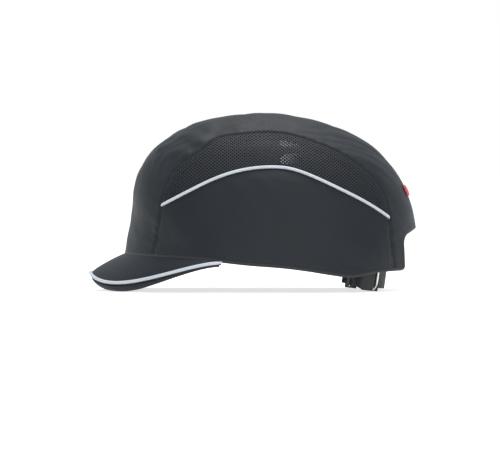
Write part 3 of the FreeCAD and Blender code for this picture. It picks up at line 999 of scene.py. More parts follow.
@dataclass
class CrownCloth:
    """The solid panels of the fabric crown: the long middle one and a low one on each side."""

    rows: int = 170
    middle_columns: int = 60
    leg_columns: int = 14
    leg_rows: int = 14
    cloth: float = 1.2
    seam_depth: float = 1.5
    seam_reach: float = 1.5
    fold_depth: float = 1.45
    leg_top: float = 39.0
    crown_cut: tuple[float, float] = (0.190, 0.395)
    side_cut: tuple[float, float] = (0.085, 0.225)
    areas: dict[str, float] = field(default_factory=dict)

    def wrinkle(self, points: Array, seed: float) -> Array:
        """Return how far the cloth stands in or out at surface points.

        Args:
            points: Points on the surface.
            seed: A number that sets one panel's folds apart.

        Returns:
            How far each point stands out.
        """
        slant = points[:, 0] + 0.8 * points[:, 2]
        turned = np.stack([slant, points[:, 1], points[:, 2] - 0.5 * points[:, 0]], axis=-1)
        broad = ripples(turned, (40, 30, 52), seed)
        crease = np.abs(ripples(turned, (24, 34, 40), seed + 7.3))
        small = ripples(turned, (11, 15, 22), seed + 1.9)
        grain = ripples(points, (4.5, 4.5, 4.5), seed + 3.1)
        lean = np.stack([points[:, 0] + 0.35 * points[:, 1], points[:, 1] - 0.45 * points[:, 0],
                         points[:, 2] + 0.30 * points[:, 0]], axis=-1)
        streak = np.abs(ripples(lean, (62, 13, 15), seed + 4.4)) - 0.2
        high = np.clip((points[:, 2] - 88) / 30, 0.12, 1)
        return (self.fold_depth * (0.65 * broad + 0.65 * (crease - 0.2) + 0.16 * small + 0.95 * high * streak)
                + 0.06 * grain)

    def bisect(self, inside: Callable[[Array], Array], low: Array, high: Array) -> Array:
        """Return where a test turns from true at low to false at high.

        Args:
            inside: The test.
            low: Values that pass.
            high: Values that fail.

        Returns:
            The values where it turns.
        """
        for _ in range(40):
            middle = (low + high) / 2
            good = inside(middle)
            low, high = np.where(good, middle, low), np.where(good, high, middle)
        return (low + high) / 2

    def crown_columns(self) -> Array:
        """Return the middle panel's columns from -1 to 1, with one on each side of the rear opening.

        Returns:
            The columns, in order.
        """
        turn = math.asin(2 * FORM.arch_half / FORM.width)

        def below_leg_top(at: Array) -> Array:
            """Return whether the panel is still beside the rear opening at a heading."""
            return FORM.by_turn(at, np.full(1, turn))[:, 2] < self.leg_top

        heading = self.bisect(below_leg_top, np.full(1, math.radians(8)), np.full(1, math.radians(70)))
        edge = float(turn / FORM.seam_turn(heading)[0])
        leg = np.linspace(edge, 1, self.leg_columns + 1)
        middle = np.linspace(-edge, edge, self.middle_columns + 1)
        return np.concatenate([-leg[::-1][:-1], middle, leg[1:]])

    def crown_panel(self) -> bpy.types.Object:
        """Return the middle panel, from the front rim over the top to the rear opening and its legs.

        Returns:
            The panel, with its legs.
        """
        columns = self.crown_columns()

        def on_panel(v: Array, heading: Array) -> Array:
            """Return the panel's points at shares of its half width."""
            return FORM.by_turn(heading, v * FORM.seam_turn(heading))

        def over_rim(heading: Array) -> Array:
            """Return whether the panel is still above the front rim."""
            points = on_panel(columns, heading)
            return points[:, 2] > FORM.rim(points[:, 0])

        def over_arch(heading: Array) -> Array:
            """Return whether the panel is still above its rear end.

            Args:
                heading: A heading for each column.

            Returns:
                The test for each column.
            """
            points = on_panel(columns, heading)
            y = points[:, 1]
            end = np.where(np.abs(y) < FORM.arch_half, FORM.arch_height(y), self.leg_top)
            return points[:, 2] > end

        count = len(columns)
        top = np.full(count, math.radians(75))
        start = self.bisect(over_rim, top, np.full(count, math.radians(172)))
        end = self.bisect(over_arch, top, np.full(count, math.radians(6)))

        def place(u: Array, v: Array) -> Array:
            """Place the points.

            Args:
                u: Shares along the piece.
                v: Shares across it.

            Returns:
                The points, in millimetres.
            """
            i = np.rint(v * (count - 1)).astype(int)
            heading = start[i] + (end[i] - start[i]) * bundled(u, 0.35)
            points = on_panel(columns[i], heading)
            edge = FORM.by_turn(heading, np.copysign(FORM.seam_turn(heading), columns[i]))
            distance = np.linalg.norm(points - edge, axis=1)
            dip = seam_dip(distance, self.seam_depth, self.seam_reach)
            pucker = 0.28 * np.exp(-distance / 5) * np.sin(heading * 110 + 2 * np.sin(heading * 23))
            calm = np.clip(distance / 9, 0, 1) * np.clip(np.minimum(u, 1 - u) * 14, 0.1, 1)
            return FORM.raised(points, self.wrinkle(points, 2.0) * calm - dip + pucker)

        panel = cloth_grid("crown_cloth", self.rows, count - 1, place, (395.0, 190.0), FORM.normals)
        legs = [self.leg(side, columns[-self.leg_columns - 1:], end) for side in Side]
        whole = join([panel, *legs], "crown_cloth")
        self.thicken(whole)
        return whole

    def leg(self, side: Side, columns: Array, end: Array) -> bpy.types.Object:
        """Return the piece of the middle panel beside the rear opening.

        Args:
            side: The side of the cap.
            columns: The panel's columns that reach it, from the opening to the side seam.
            end: The heading at which every column of the panel ends.

        Returns:
            The leg as a grid whose first row meets the panel.
        """
        count = len(columns)
        heading = end[-count:]
        first = FORM.by_turn(heading, columns * FORM.seam_turn(heading))
        share = (first[:, 1] - first[0, 1]) / (first[-1, 1] - first[0, 1])
        foot = np.array(FORM.on_side(FORM.rear_foot))
        top = FORM.piping.at(np.array([1.0]))[0]

        def seam_y(z: Array) -> Array:
            """Return y on the rear seam at a height."""
            x = top[0] + (foot[0] - top[0]) * (top[1] - z) / (top[1] - foot[1])
            return FORM.spread(x, z)

        def place(u: Array, v: Array) -> Array:
            """Place the points.

            Args:
                u: Shares along the piece.
                v: Shares across it.

            Returns:
                The points, in millimetres.
            """
            i = np.rint(v * (count - 1)).astype(int)
            z = first[i, 2].copy()
            for _ in range(3):
                y = FORM.arch_half + (seam_y(z) - FORM.arch_half) * share[i]
                low = FORM.rim(FORM.rear_x(y, z))
                z = first[i, 2] + (low - first[i, 2]) * u
            y = np.where(u < 1e-6, first[i, 1], FORM.arch_half + (seam_y(z) - FORM.arch_half) * share[i])
            x = np.where(u < 1e-6, first[i, 0], FORM.rear_x(y, z))
            points = np.stack([x, side.value * y, z], axis=-1)
            distance = seam_y(z) - y
            dip = seam_dip(distance, self.seam_depth, self.seam_reach)
            return FORM.raised(points, -dip)

        return cloth_grid(f"leg_{side.word}", self.leg_rows, count - 1, place, (20.0, 14.0), FORM.normals)

    def side_panel(self, side: Side) -> bpy.types.Object:
        """Return the low side panel between the rim, the piping and the front and rear seams.

        Args:
            side: The side of the cap.

        Returns:
            The panel.
        """
        ends = []
        for share, foot in ((0.0, FORM.front_foot), (1.0, FORM.rear_foot)):
            high, low = FORM.piping.at(np.array([share]))[0], np.array(FORM.on_side(foot))
            line = high + (low - high) * np.linspace(0, 1, 400)[:, None]
            ends.append(float(line[np.argmin(np.abs(line[:, 1] - FORM.rim(line[:, 0]))), 0]))

        def place(u: Array, v: Array) -> Array:
            """Place the points.

            Args:
                u: Shares along the piece.
                v: Shares across it.

            Returns:
                The points, in millimetres.
            """
            along, up = bundled(u, 0.5), bundled(v, 0.5)
            high = FORM.piping.at(along)
            x = ends[0] + (ends[1] - ends[0]) * along
            low = np.stack([x, FORM.rim(x)], axis=-1)
            flat = low + (high - low) * up[:, None]
            points = FORM.from_side(flat[:, 0], flat[:, 1], side)
            to_seam = np.minimum(along, 1 - along) * (ends[1] - ends[0])
            to_piping = np.hypot(*(high - flat).T)
            dip = (seam_dip(to_seam, self.seam_depth, self.seam_reach)
                   + seam_dip(to_piping, 0.5, self.seam_reach))
            pucker = 0.14 * np.exp(-to_seam / 5) * np.sin(flat[:, 1] * 2.1)
            calm = np.clip(to_seam / 10, 0, 1) * np.clip(to_piping / 10, 0, 1) * np.clip(up * 8, 0.1, 1)
            return FORM.raised(points, 0.8 * self.wrinkle(points, 5.0 + side.value) * calm - dip + pucker)

        panel = cloth_grid(f"side_cloth_{side.word}", 120, 56, place, (225.0, 80.0), FORM.normals)
        self.thicken(panel)
        return panel

    def thicken(self, panel: bpy.types.Object) -> None:
        """Give a panel its cloth thickness, inwards, and smooth shading.

        Args:
            panel: The panel, still one layer thick.
        """
        activate(panel)
        bpy.ops.object.mode_set(mode="EDIT")
        bpy.ops.mesh.select_all(action="SELECT")
        bpy.ops.mesh.remove_doubles(threshold=0.05 * MM)
        bpy.ops.object.mode_set(mode="OBJECT")
        self.areas[panel.name] = cloth_area(panel)
        apply_modifier(panel, "SOLIDIFY", thickness=self.cloth * MM, offset=-1.0)
        smooth(panel, 55)

    def build(self) -> None:
        """Build and dress the panels."""
        crown = self.crown_panel()
        dress(crown, finish("outer_fabric"), "cover", ["crown_panel"])
        for side in Side:
            panel = self.side_panel(side)
            dress(panel, finish("outer_fabric"), "cover", [f"side_panel_{side.word}"])


@dataclass
class NetPanel:
    """One of the net panels above the piping: a lattice with real holes."""

    pitch_x: float = 3.3
    pitch_z: float = 3.2
    margin: float = 1.7
    yarn: float = 0.78
    thickness: float = 0.45
    low_z: float = 58.0
    middle_x: float = 18.0
    span: int = 104
    rows_below: float = 64.0
    cut: tuple[float, float] = (0.062, 0.205)

    def heights(self) -> tuple[Array, Array, Array]:
        """Return x places, distances up the cloth, and the height z at each of them.

        Returns:
            The x places, the distances and the table of heights.
        """
        xs = np.linspace(-84, 122, 104)
        zs = np.linspace(self.low_z, 142, 500)
        reach = np.linspace(0, 150, 400)
        table = []
        for x in xs:
            spread = FORM.spread(np.full_like(zs, x), zs)
            steps = np.hypot(np.diff(zs), np.diff(spread))
            table.append(np.interp(reach, np.concatenate([[0.0], np.cumsum(steps)]), zs))
        return xs, reach, np.array(table)

    def height_at(self, x: Array, up: Array, xs: Array, reach: Array, table: Array) -> Array:
        """Read the height table between its places.

        Args:
            x: The places along the cap.
            up: The distances up the cloth.
            xs: The x places of the table.
            reach: The distances up the cloth in the table.
            table: The height at each of them.

        Returns:
            The height at each x and distance.
        """
        column = np.clip((x - xs[0]) / (xs[1] - xs[0]), 0, len(xs) - 1.001)
        row = np.clip(up / (reach[1] - reach[0]), 0, len(reach) - 1.001)
        i, j = column.astype(int), row.astype(int)
        s, t = column - i, row - j
        return ((1 - s) * ((1 - t) * table[i, j] + t * table[i, j + 1])
                + s * ((1 - t) * table[i + 1, j] + t * table[i + 1, j + 1]))

    def build(self, side: Side) -> bpy.types.Object:
        """Build and dress the net of one side.

        Args:
            side: The side of the cap.

        Returns:
            The net.
        """
        xs, reach, table = self.heights()
        outline = np.vstack([FORM.piping.samples(240), FORM.mesh_top.samples(320)[::-1]])

        def inside(x: Array, z: Array) -> Array:
            """Return whether side-view points lie inside the outline.

            Args:
                x: Places along the cap.
                z: Heights.

            Returns:
                The test for each point.
            """
            hit = np.zeros(len(x), bool)
            for (ax, az), (bx, bz) in zip(outline, np.roll(outline, -1, axis=0)):
                if az != bz:
                    hit ^= ((az > z) != (bz > z)) & (x < (bx - ax) * (z - az) / (bz - az) + ax)
            return hit

        def beyond(x: Array, z: Array) -> Array:
            """Return how far side-view points lie outside the outline, negative inside it."""
            far = np.min(np.hypot(x[:, None] - outline[None, :, 0], z[:, None] - outline[None, :, 1]), axis=1)
            return np.where(inside(x, z), -far, far)

        clear_selection()
        bpy.ops.mesh.primitive_grid_add(x_subdivisions=self.span, y_subdivisions=self.span, size=1.0)
        net = bpy.context.object
        net.name = net.data.name = f"net_{side.word}"
        grid = np.zeros(len(net.data.vertices) * 3)
        net.data.vertices.foreach_get("co", grid)
        p, q = ((grid.reshape(-1, 3)[:, :2] + 0.5) * self.span).T
        x = self.middle_x + self.pitch_x / 2 * (p - q)
        up = self.pitch_z / 2 * (p + q - self.rows_below)
        z = self.height_at(x, up, xs, reach, table)
        keep = (up >= 0) & (x > xs[0]) & (x < xs[-1])
        out = np.full(len(x), 50.0)
        out[keep] = beyond(x[keep], z[keep])
        flat = np.stack([x, up, np.zeros_like(x)], axis=-1)
        net.data.vertices.foreach_set("co", (flat * MM).ravel())
        clear_selection()
        activate(net)
        work = bmesh.new()
        work.from_mesh(net.data)
        work.verts.ensure_lookup_table()
        doomed = [face for face in work.faces if np.mean([out[v.index] for v in face.verts]) > self.margin]
        bmesh.ops.delete(work, geom=doomed, context="FACES")
        layer = work.loops.layers.uv.verify()
        for face in work.faces:
            for loop in face.loops:
                loop[layer].uv = (loop.vert.co.x, loop.vert.co.y)
        work.to_mesh(net.data)
        work.free()
        bpy.ops.object.mode_set(mode="EDIT")
        bpy.ops.mesh.select_all(action="SELECT")
        bpy.ops.mesh.inset(thickness=self.yarn / 2 * MM, use_individual=True, use_boundary=True)
        bpy.ops.mesh.delete(type="FACE")
        bpy.ops.mesh.select_all(action="DESELECT")
        bpy.ops.object.mode_set(mode="OBJECT")
        self.lay(net, side, xs, reach, table, beyond)
        apply_modifier(net, "SOLIDIFY", thickness=self.thickness * MM, offset=-1.0)
        apply_modifier(net, "SUBSURF", levels=1, render_levels=1)
        smooth(net, 80)
        dress(net, finish("net_yarn"), "cover", [f"mesh_panel_{side.word}"])
        return net

    def lay(self, net: bpy.types.Object, side: Side, xs: Array, reach: Array, table: Array,
            beyond: Callable[[Array, Array], Array]) -> None:
        """Move the flat net onto the crown, its edges tucked under the neighbouring cloth.

        Args:
            net: The flat net.
            side: The side of the cap.
            xs: The x places of the height table.
            reach: The distances up the cloth in the height table.
            table: The height at each of them.
            beyond: Gives how far side-view points lie outside the net's outline.
        """
        flat = np.zeros(len(net.data.vertices) * 3)
        net.data.vertices.foreach_get("co", flat)
        x, up = (flat.reshape(-1, 3)[:, :2] / MM).T
        z = self.height_at(x, up, xs, reach, table)
        out = beyond(x, z)
        sink = 0.15 + 1.5 * np.clip((out + 1.6) / 2.6, 0, 1) ** 2
        points = FORM.from_side(x, z, side)
        belly = 0.35 * ripples(points, (30, 30, 22), 9.0) * np.clip(-out / 9, 0, 1)
        points = FORM.raised(points, belly - sink)
        net.data.vertices.foreach_set("co", (points * MM).ravel())
        net.data.update()
        centres = np.array([face.center for face in net.data.polygons]) / MM
        faces = np.array([face.normal for face in net.data.polygons])
        if (faces * FORM.normals(centres)).sum() < 0:
            net.data.flip_normals()


# ------------------------------------------------------------------ piping, tapes and seams

def strip(name: str, path: Array, up: Array, outward: Array, width: float, thick: float, depth: float,
          rows: int = 6) -> bpy.types.Object:
    """Return a tape that lies on the cloth along a path.

    Args:
        name: The piece's name.
        path: Points along one edge of the tape, on the cloth.
        up: The direction across the tape at each point.
        outward: The cloth's outward direction at each point.
        width: The tape's width.
        thick: The tape's thickness.
        depth: How far inside the cloth's face the tape's outer face lies.
        rows: Faces across the tape.

    Returns:
        The tape.
    """
    steps = len(path) - 1
    length = float(np.linalg.norm(np.diff(path, axis=0), axis=1).sum())

    def place(u: Array, v: Array) -> Array:
        """Place the points."""
        i = np.rint(u * steps).astype(int)
        return path[i] + up[i] * (v * width)[:, None] - outward[i] * depth

    tape = cloth_grid(name, steps, rows, place, (length, width), FORM.normals)
    apply_modifier(tape, "SOLIDIFY", thickness=thick * MM, offset=-1.0)
    apply_modifier(tape, "BEVEL", width=0.3 * thick * MM, segments=2, limit_method="ANGLE")
    smooth(tape, 50)
    return tape


def unit(vectors: Array) -> Array:
    """Return vectors scaled to a length of 1."""
    return vectors / np.maximum(np.linalg.norm(vectors, axis=-1, keepdims=True), 1e-9)


def evenly(path: Array, pitch: float) -> Array:
    """Return a path with its points about a pitch apart.

    Args:
        path: The path's points.
        pitch: The wanted distance between points.

    Returns:
        The new points.
    """
    steps = np.linalg.norm(np.diff(path, axis=0), axis=1)
    along = np.concatenate([[0.0], np.cumsum(steps)])
    places = np.linspace(0, along[-1], max(2, int(round(along[-1] / pitch)) + 1))
    return np.stack([np.interp(places, along, path[:, axis]) for axis in range(3)], axis=-1)


@dataclass
class Trim:
    """The reflective piping, the bound edges, the seam tapes, the stitching and the rear tab."""

    piping_radius: float = 1.32
    piping_rise: float = 0.35
    rim_tape: float = 10.0
    bead: float = 1.25
    arch_tape: float = 7.0
    seam_tape: float = 9.0
    tape_thick: float = 0.8
    tab_half: float = 17.0
    tab_low: float = 80.0
    tab_high: float = 89.0

    def piping(self, side: Side) -> None:
        """Build the reflective cord above a side panel, pinched out at both ends.

        Args:
            side: The side of the cap.
        """
        flat = FORM.piping.samples(260)
        path = FORM.from_side(flat[:, 0], flat[:, 1], side, self.piping_rise)
        tucked = np.clip(np.minimum(np.linspace(0, 1, 260), np.linspace(1, 0, 260)) * 90, 0, 1)
        path = path - FORM.normals(path) * (1.3 * (1 - tucked) ** 2)[:, None]

        def radius(u: Array) -> Array:
            """Return the cord's radius, smaller at both ends."""
            return self.piping_radius * np.clip(np.minimum(u, 1 - u) * 60 + 0.55, 0, 1)

        cord = tube(f"piping_cord_{side.word}", path, radius, sides=14)
        dress(cord, finish("reflective"), "cover", [f"piping_{side.word}"])

    def rim_path(self) -> Array:
        """Return the crown's lower edge, from the rear opening's left side round the front to its right.

        Returns:
            The edge's points.
        """
        fine = np.linspace(0, 1, 900)
        headings = np.radians(172) + np.radians(10 - 172) * (1 - np.cos(math.pi * fine)) / 2
        low, high = np.zeros_like(headings), np.interp(headings, FORM.headings, FORM.radii) * 1.2
        for _ in range(44):
            middle = (low + high) / 2
            x = FORM.centre[0] + middle * np.cos(headings)
            z = FORM.centre[1] + middle * np.sin(headings)
            above = z > FORM.rim(x)
            low, high = np.where(above, low, middle), np.where(above, middle, high)
        scale = (low + high) / 2 / np.interp(headings, FORM.headings, FORM.radii)
        within = scale <= 1.0
        points = FORM.by_turn(headings[within], np.arccos(np.clip(scale[within], 0, 1) ** (FORM.power / 2)))
        front = points[0] * (1, 0, 1)
        right = np.vstack([front, points])
        right = right[(right[:, 0] < FORM.centre[0]) | (right[:, 1] > FORM.arch_half)]
        return evenly(np.vstack([right[::-1] * (1, -1, 1), right[1:]]), 2.2)

    def arch_path(self) -> Array:
        """Return the rear opening's edge from the left rim over the top to the right rim.

        Returns:
            The edge's points.
        """
        half = FORM.arch_half
        legs = np.linspace(19.05, FORM.arch_side - FORM.arch_corner, 14)
        turn = np.radians(np.linspace(0, 84, 14))
        corner_y = half - FORM.arch_corner * (1 - np.cos(turn))
        y = np.concatenate([np.full(13, half), corner_y, np.linspace(corner_y[-1], 0, 30)[1:]])
        z = np.concatenate([legs[:-1], FORM.arch_height(np.minimum(y[13:], half - 1e-6))])
        right = np.stack([FORM.rear_x(y, z), y, z], axis=-1)
        return evenly(np.vstack([right * (1, -1, 1), right[::-1][1:]]), 1.6)

    def bound_edge(self, name: str, path: Array, up: Array, width: float, body: float) -> None:
        """Build a binding: a tape inside the cloth and a bead rolled over the edge.

        Args:
            name: The binding's name.
            path: The edge.
            up: The direction from the edge into the cloth.
            width: The tape's width.
            body: The bead's radius.
        """
        outward = FORM.normals(path)
        up = unit(up - outward * (up * outward).sum(axis=1, keepdims=True))
        inner = strip(name + "_tape", path, up, outward, width, self.tape_thick, 1.25)
        wobble = ripples(path, (9, 9, 9), 4.0)
        middle = path - outward * 0.75 - up * 0.2 + up * 0.15 * wobble[:, None]
        bead = tube(name + "_bead", middle, rounded_ends(body), sides=12)
        whole = join([inner, bead], name + "_tape")
        dress(whole, finish("tape"), "cover", [name])

    def rim_binding(self) -> None:
        """Build the binding along the crown's lower edge, with its stitching outside."""
        path = self.rim_path()
        upward = np.tile((0.0, 0.0, 1.0), (len(path), 1))
        self.bound_edge("rim_binding", path, upward, self.rim_tape, self.bead)
        outward = FORM.normals(path)
        up = unit(np.array([0.0, 0.0, 1.0]) - outward * outward[:, 2:3])
        sewn = path + up * 3.4 + outward * 0.05
        behind = sewn[:, 0] > -24
        for side in Side:
            row = sewn[behind & (np.sign(sewn[:, 1]) == side.value)]
            self.sew(f"rim_stitches_{side.word}", row, FORM.normals(row))

    def arch_binding(self) -> None:
        """Build the binding round the rear opening, with its stitching outside."""
        path = self.arch_path()
        ahead = unit(np.gradient(path, axis=0))
        outward = FORM.normals(path)
        up = np.cross(outward, ahead)
        if up[len(up) // 2, 2] < 0:
            up = -up
        self.bound_edge("arch_binding", path, up, self.arch_tape, 1.05)
        up = unit(up - outward * (up * outward).sum(axis=1, keepdims=True))
        row = path + up * 3.0 + outward * 0.05
        self.sew("arch_stitches", row[3:-3], outward[3:-3])

    def sew(self, name: str, row: Array, outward: Array, colour: str = "thread") -> None:
        """Build a row of stitches and dress it.

        Args:
            name: The row's name.
            row: Points on the cloth.
            outward: The cloth's outward direction at each.
            colour: The thread's finish.
        """
        dress(stitches(name, row, outward), finish(colour), "cover")

    def seam(self, side: Side) -> None:
        """Build the tape inside the seam above the net and the topstitching along the seams.

        Args:
            side: The side of the cap.
        """
        flat = FORM.mesh_top.samples(200)
        ahead = unit(np.gradient(flat, axis=0))
        out = np.stack([-ahead[:, 1], ahead[:, 0]], axis=-1)
        low = flat - out * self.seam_tape / 2
        steps = len(flat) - 1

        def place(u: Array, v: Array) -> Array:
            """Place the points.

            Args:
                u: Shares along the piece.
                v: Shares across it.

            Returns:
                The points, in millimetres.
            """
            i = np.rint(u * steps).astype(int)
            at = low[i] + out[i] * (v * self.seam_tape)[:, None]
            return FORM.from_side(at[:, 0], at[:, 1], side, -1.3)

        tape = cloth_grid(f"seam_band_{side.word}", steps, 8, place, (290.0, self.seam_tape), FORM.normals)
        apply_modifier(tape, "SOLIDIFY", thickness=0.5 * MM, offset=-1.0)
        smooth(tape, 50)
        dress(tape, finish("tape"), "cover", [f"seam_tape_{side.word}"])
        over = flat + out * 2.6
        row = FORM.from_side(over[4:-4, 0], over[4:-4, 1], side, -0.25)
        self.sew(f"net_stitches_{side.word}", row, FORM.normals(row))
        for name, share, foot in (("front", 0.0, FORM.front_foot), ("rear", 1.0, FORM.rear_foot)):
            high, low_end = FORM.piping.at(np.array([share]))[0], np.array(FORM.on_side(foot))
            line = high + (low_end - high) * np.linspace(0.04, 1, 120)[:, None]
            line = line[line[:, 1] > FORM.rim(line[:, 0]) + 3]
            inward = 2.4 if name == "front" else -2.4
            row = FORM.from_side(line[:, 0] + inward, line[:, 1], side, -0.2)
            self.sew(f"{name}_stitches_{side.word}", row, FORM.normals(row))

    def tab(self) -> None:
        """Build the plain woven tab across the back, sewn down at both ends."""
        def place(u: Array, v: Array) -> Array:
            """Place the points.

            Args:
                u: Shares along the piece.
                v: Shares across it.

            Returns:
                The points, in millimetres.
            """
            y = (u - 0.5) * 2 * self.tab_half
            z = self.tab_low + (self.tab_high - self.tab_low) * v
            bulge = 0.55 + 0.5 * np.sin(math.pi * u) * np.sin(math.pi * v)
            points = np.stack([FORM.rear_x(y, z), y, z], axis=-1)
            return FORM.raised(points, bulge + 0.35)

        size = (2 * self.tab_half, self.tab_high - self.tab_low)
        tab = cloth_grid("woven_tab", 48, 14, place, size, FORM.normals)
        apply_modifier(tab, "SOLIDIFY", thickness=0.9 * MM, offset=-1.0)
        apply_modifier(tab, "BEVEL", width=0.25 * MM, segments=2, limit_method="ANGLE")
        smooth(tab, 50)
        dress(tab, finish("red_tab"), "cover", ["rear_tab"])
        for side in Side:
            z = np.linspace(self.tab_low + 0.6, self.tab_high - 0.6, 12)
            y = np.full_like(z, side.value * (self.tab_half - 1.8))
            row = FORM.raised(np.stack([FORM.rear_x(y, z), y, z], axis=-1), 1.05)
            self.sew(f"tab_stitches_{side.word}", row, FORM.normals(row), "red_thread")

    def build(self) -> None:
        """Build all the trim."""
        for side in Side:
            self.piping(side)
            self.seam(side)
        self.rim_binding()
        self.arch_binding()
        self.tab()


# ------------------------------------------------------------------ brim

@dataclass
class Brim:
    """The short brim: a fabric top, a rolled fabric underside and a reflective cord round the edge."""

    root_x: float = -26.0
    length: float = 27.8
    end_width: float = 2.2
    tip_drop: float = 15.1
    end_drop: float = 0.4
    dip: float = 11.6
    dip_power: float = 1.3
    fabric: float = 1.0
    board: float = 2.2
    lip: float = 5.6
    lip_extra: float = 3.6
    lip_width: float = 6.0
    cord: float = 1.3
    bulge: float = 0.8
    stations: int = 121

    def __post_init__(self) -> None:
        """Work out the root and the edge at each station."""
        turn = np.radians(np.linspace(-89.2, 89.2, self.stations))
        reach = FORM.front + self.length + self.root_x
        x = np.array([self.root_x])
        half = float(FORM.spread(x, FORM.rim(x))[0]) + self.end_width - 0.6
        end_z = float(FORM.rim(x)[0]) - self.end_drop
        tip_z = float(FORM.rim(np.array([-FORM.front]))[0]) - self.tip_drop
        ease = 0.01
        swing = np.sqrt(np.sin(2 * turn) ** 2 + ease) - math.sqrt(ease)
        self.swell = swing / (math.sqrt(1 + ease) - math.sqrt(ease))
        self.edge = np.stack([self.root_x - reach * np.cos(turn), half * np.sin(turn),
                              tip_z * np.cos(turn) ** 2 + end_z * np.sin(turn) ** 2
                              - self.dip * self.swell ** self.dip_power], axis=-1)
        low, high = np.zeros(self.stations), np.ones(self.stations)
        for _ in range(40):
            share = (low + high) / 2
            px = self.root_x + (self.edge[:, 0] - self.root_x) * share
            py = self.edge[:, 1] * share
            inside = np.abs(py) < FORM.spread(px, FORM.rim(px)) - 0.4
            low, high = np.where(inside, share, low), np.where(inside, high, share)
        px = self.root_x + (self.edge[:, 0] - self.root_x) * low
        self.root = np.stack([px, self.edge[:, 1] * low, FORM.rim(px) - 0.1], axis=-1)
        flat = (self.edge - self.root) * (1, 1, 0)
        self.reach = np.linalg.norm(flat, axis=1)
        self.out = flat / self.reach[:, None]
        self.fall = (self.edge[:, 2] - self.root[:, 2]) / self.reach

    def at(self, i: Array, out: Array, down: Array) -> Array:
        """Return the point of a station at a distance out from the root and down from the top face.

        Args:
            i: Stations.
            out: Distances out from the root.
            down: Distances below the top face.

        Returns:
            The points.
        """
        points = self.root[i] + self.out[i] * out[:, None]
        share = np.clip(out / self.reach[i], 0, 1)
        points[:, 2] += self.fall[i] * np.minimum(out, self.reach[i]) - down
        points[:, 2] += self.bulge * np.sin(math.pi * share) * np.clip(self.reach[i] / 20, 0, 1)
        return points

    def loft(self, name: str, outline: Callable[[int], Array]) -> bpy.types.Object:
        """Return a solid skin through one closed outline per station.

        Args:
            name: The piece's name.
            outline: Gives a station's outline as points out and down.

        Returns:
            The piece.
        """
        sections = [outline(k) for k in range(self.stations)]
        around = len(sections[0])

        def place(u: Array, v: Array) -> Array:
            """Place the points.

            Args:
                u: Shares along the piece.
                v: Shares across it.

            Returns:
                The points, in millimetres.
            """
            i = np.rint(u * (self.stations - 1)).astype(int)
            j = np.rint(v * around).astype(int) % around
            flat = np.array([sections[a][b] for a, b in zip(i, j)])
            return self.at(i, flat[:, 0], flat[:, 1])

        piece = cloth_grid(name, self.stations - 1, around, place, (300.0, 90.0))
        activate(piece)
        bpy.ops.object.mode_set(mode="EDIT")
        bpy.ops.mesh.select_all(action="SELECT")
        bpy.ops.mesh.remove_doubles(threshold=0.01 * MM)
        bpy.ops.mesh.fill_holes(sides=around + 2)
        bpy.ops.mesh.normals_make_consistent(inside=False)
        bpy.ops.object.mode_set(mode="OBJECT")
        smooth(piece, 50)
        return piece

    def top(self, k: int) -> Array:
        """Return the top cover's outline at a station: a flat sheet rolled down over the board's edge.

        Args:
            k: The station.

        Returns:
            The outline as points out and down.
        """
        reach = self.reach[k]
        grow = np.linspace(0, 1, 22)
        upper = np.stack([-1.2 + (reach + 1.2) * grow, np.zeros(22)], axis=-1)
        upper[:, 1] += 0.7 * np.exp(-((reach - upper[:, 0]) / 2.2) ** 2)
        lower = upper[::-1] + (0.0, self.fabric)
        return np.vstack([upper, lower])

    def under(self, k: int) -> Array:
        """Return the under cover's outline at a station, with its lip rolled round the edge.

        Args:
            k: The station.

        Returns:
            The outline as points out and down.
        """
        reach, swell = self.reach[k], self.swell[k]
        near = np.clip(reach / 16, 0, 1)
        lip = (self.lip + self.lip_extra * swell) * near + (self.fabric + self.board + 1.6) * (1 - near)
        roll = min(self.lip_width, 0.3 * reach)
        top = self.fabric + self.board + 0.2
        low = top + self.fabric
        nose = reach + self.cord
        corners = np.array([(-1.0, top), (reach * 0.5, top), (reach, top), (nose, top + 0.4),
                            (nose + 0.1, lip - 2.0), (nose - 0.5, lip - 0.5), (reach - 1.2, lip),
                            (reach - roll, lip - 0.7),
                            (reach - 1.5 * roll, (low + lip) / 2), (reach - 2.1 * roll, low + 0.1),
                            (reach * 0.25, low), (-1.0, low)])
        ring = np.vstack([corners, corners[:1]])
        steps = np.linalg.norm(np.diff(ring, axis=0), axis=1)
        along = np.concatenate([[0.0], np.cumsum(steps)])
        places = np.linspace(0, along[-1], 61)[:-1]
        even = np.stack([np.interp(places, along, ring[:, axis]) for axis in range(2)], axis=-1)
        for _ in range(2):
            even = 0.5 * even + 0.25 * (np.roll(even, 1, axis=0) + np.roll(even, -1, axis=0))
        return even

    def build(self) -> None:
        """Build and dress the brim's pieces."""
        # Both brim covers take the brim's cloth, whose lighter tone is painted sheen.
        top = self.loft("brim_top_cloth", self.top)
        dress(top, finish("brim_fabric_painted_sheen"), "cover", ["brim_top_cover"])
        under = self.loft("brim_under_cloth", self.under)
        dress(under, finish("brim_fabric_painted_sheen"), "cover", ["brim_under_cover"])
        every = np.arange(self.stations)
        path = self.at(every, self.reach + self.cord + 0.1, np.full(self.stations, self.cord))
        first, last = path[0] + (2.5, 1.4, 1.0), path[-1] + (2.5, -1.4, 1.0)
        middle = evenly(np.vstack([first, path, last]), 1.8)
        cord = tube("brim_cord", middle, rounded_ends(self.cord + 0.1, 0.02))
        dress(cord, finish("reflective"), "cover", ["brim_piping"])
        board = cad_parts["brim_board"].data
        board.materials.clear()
        board.materials.append(finish("board"))


# ------------------------------------------------------------------ liner

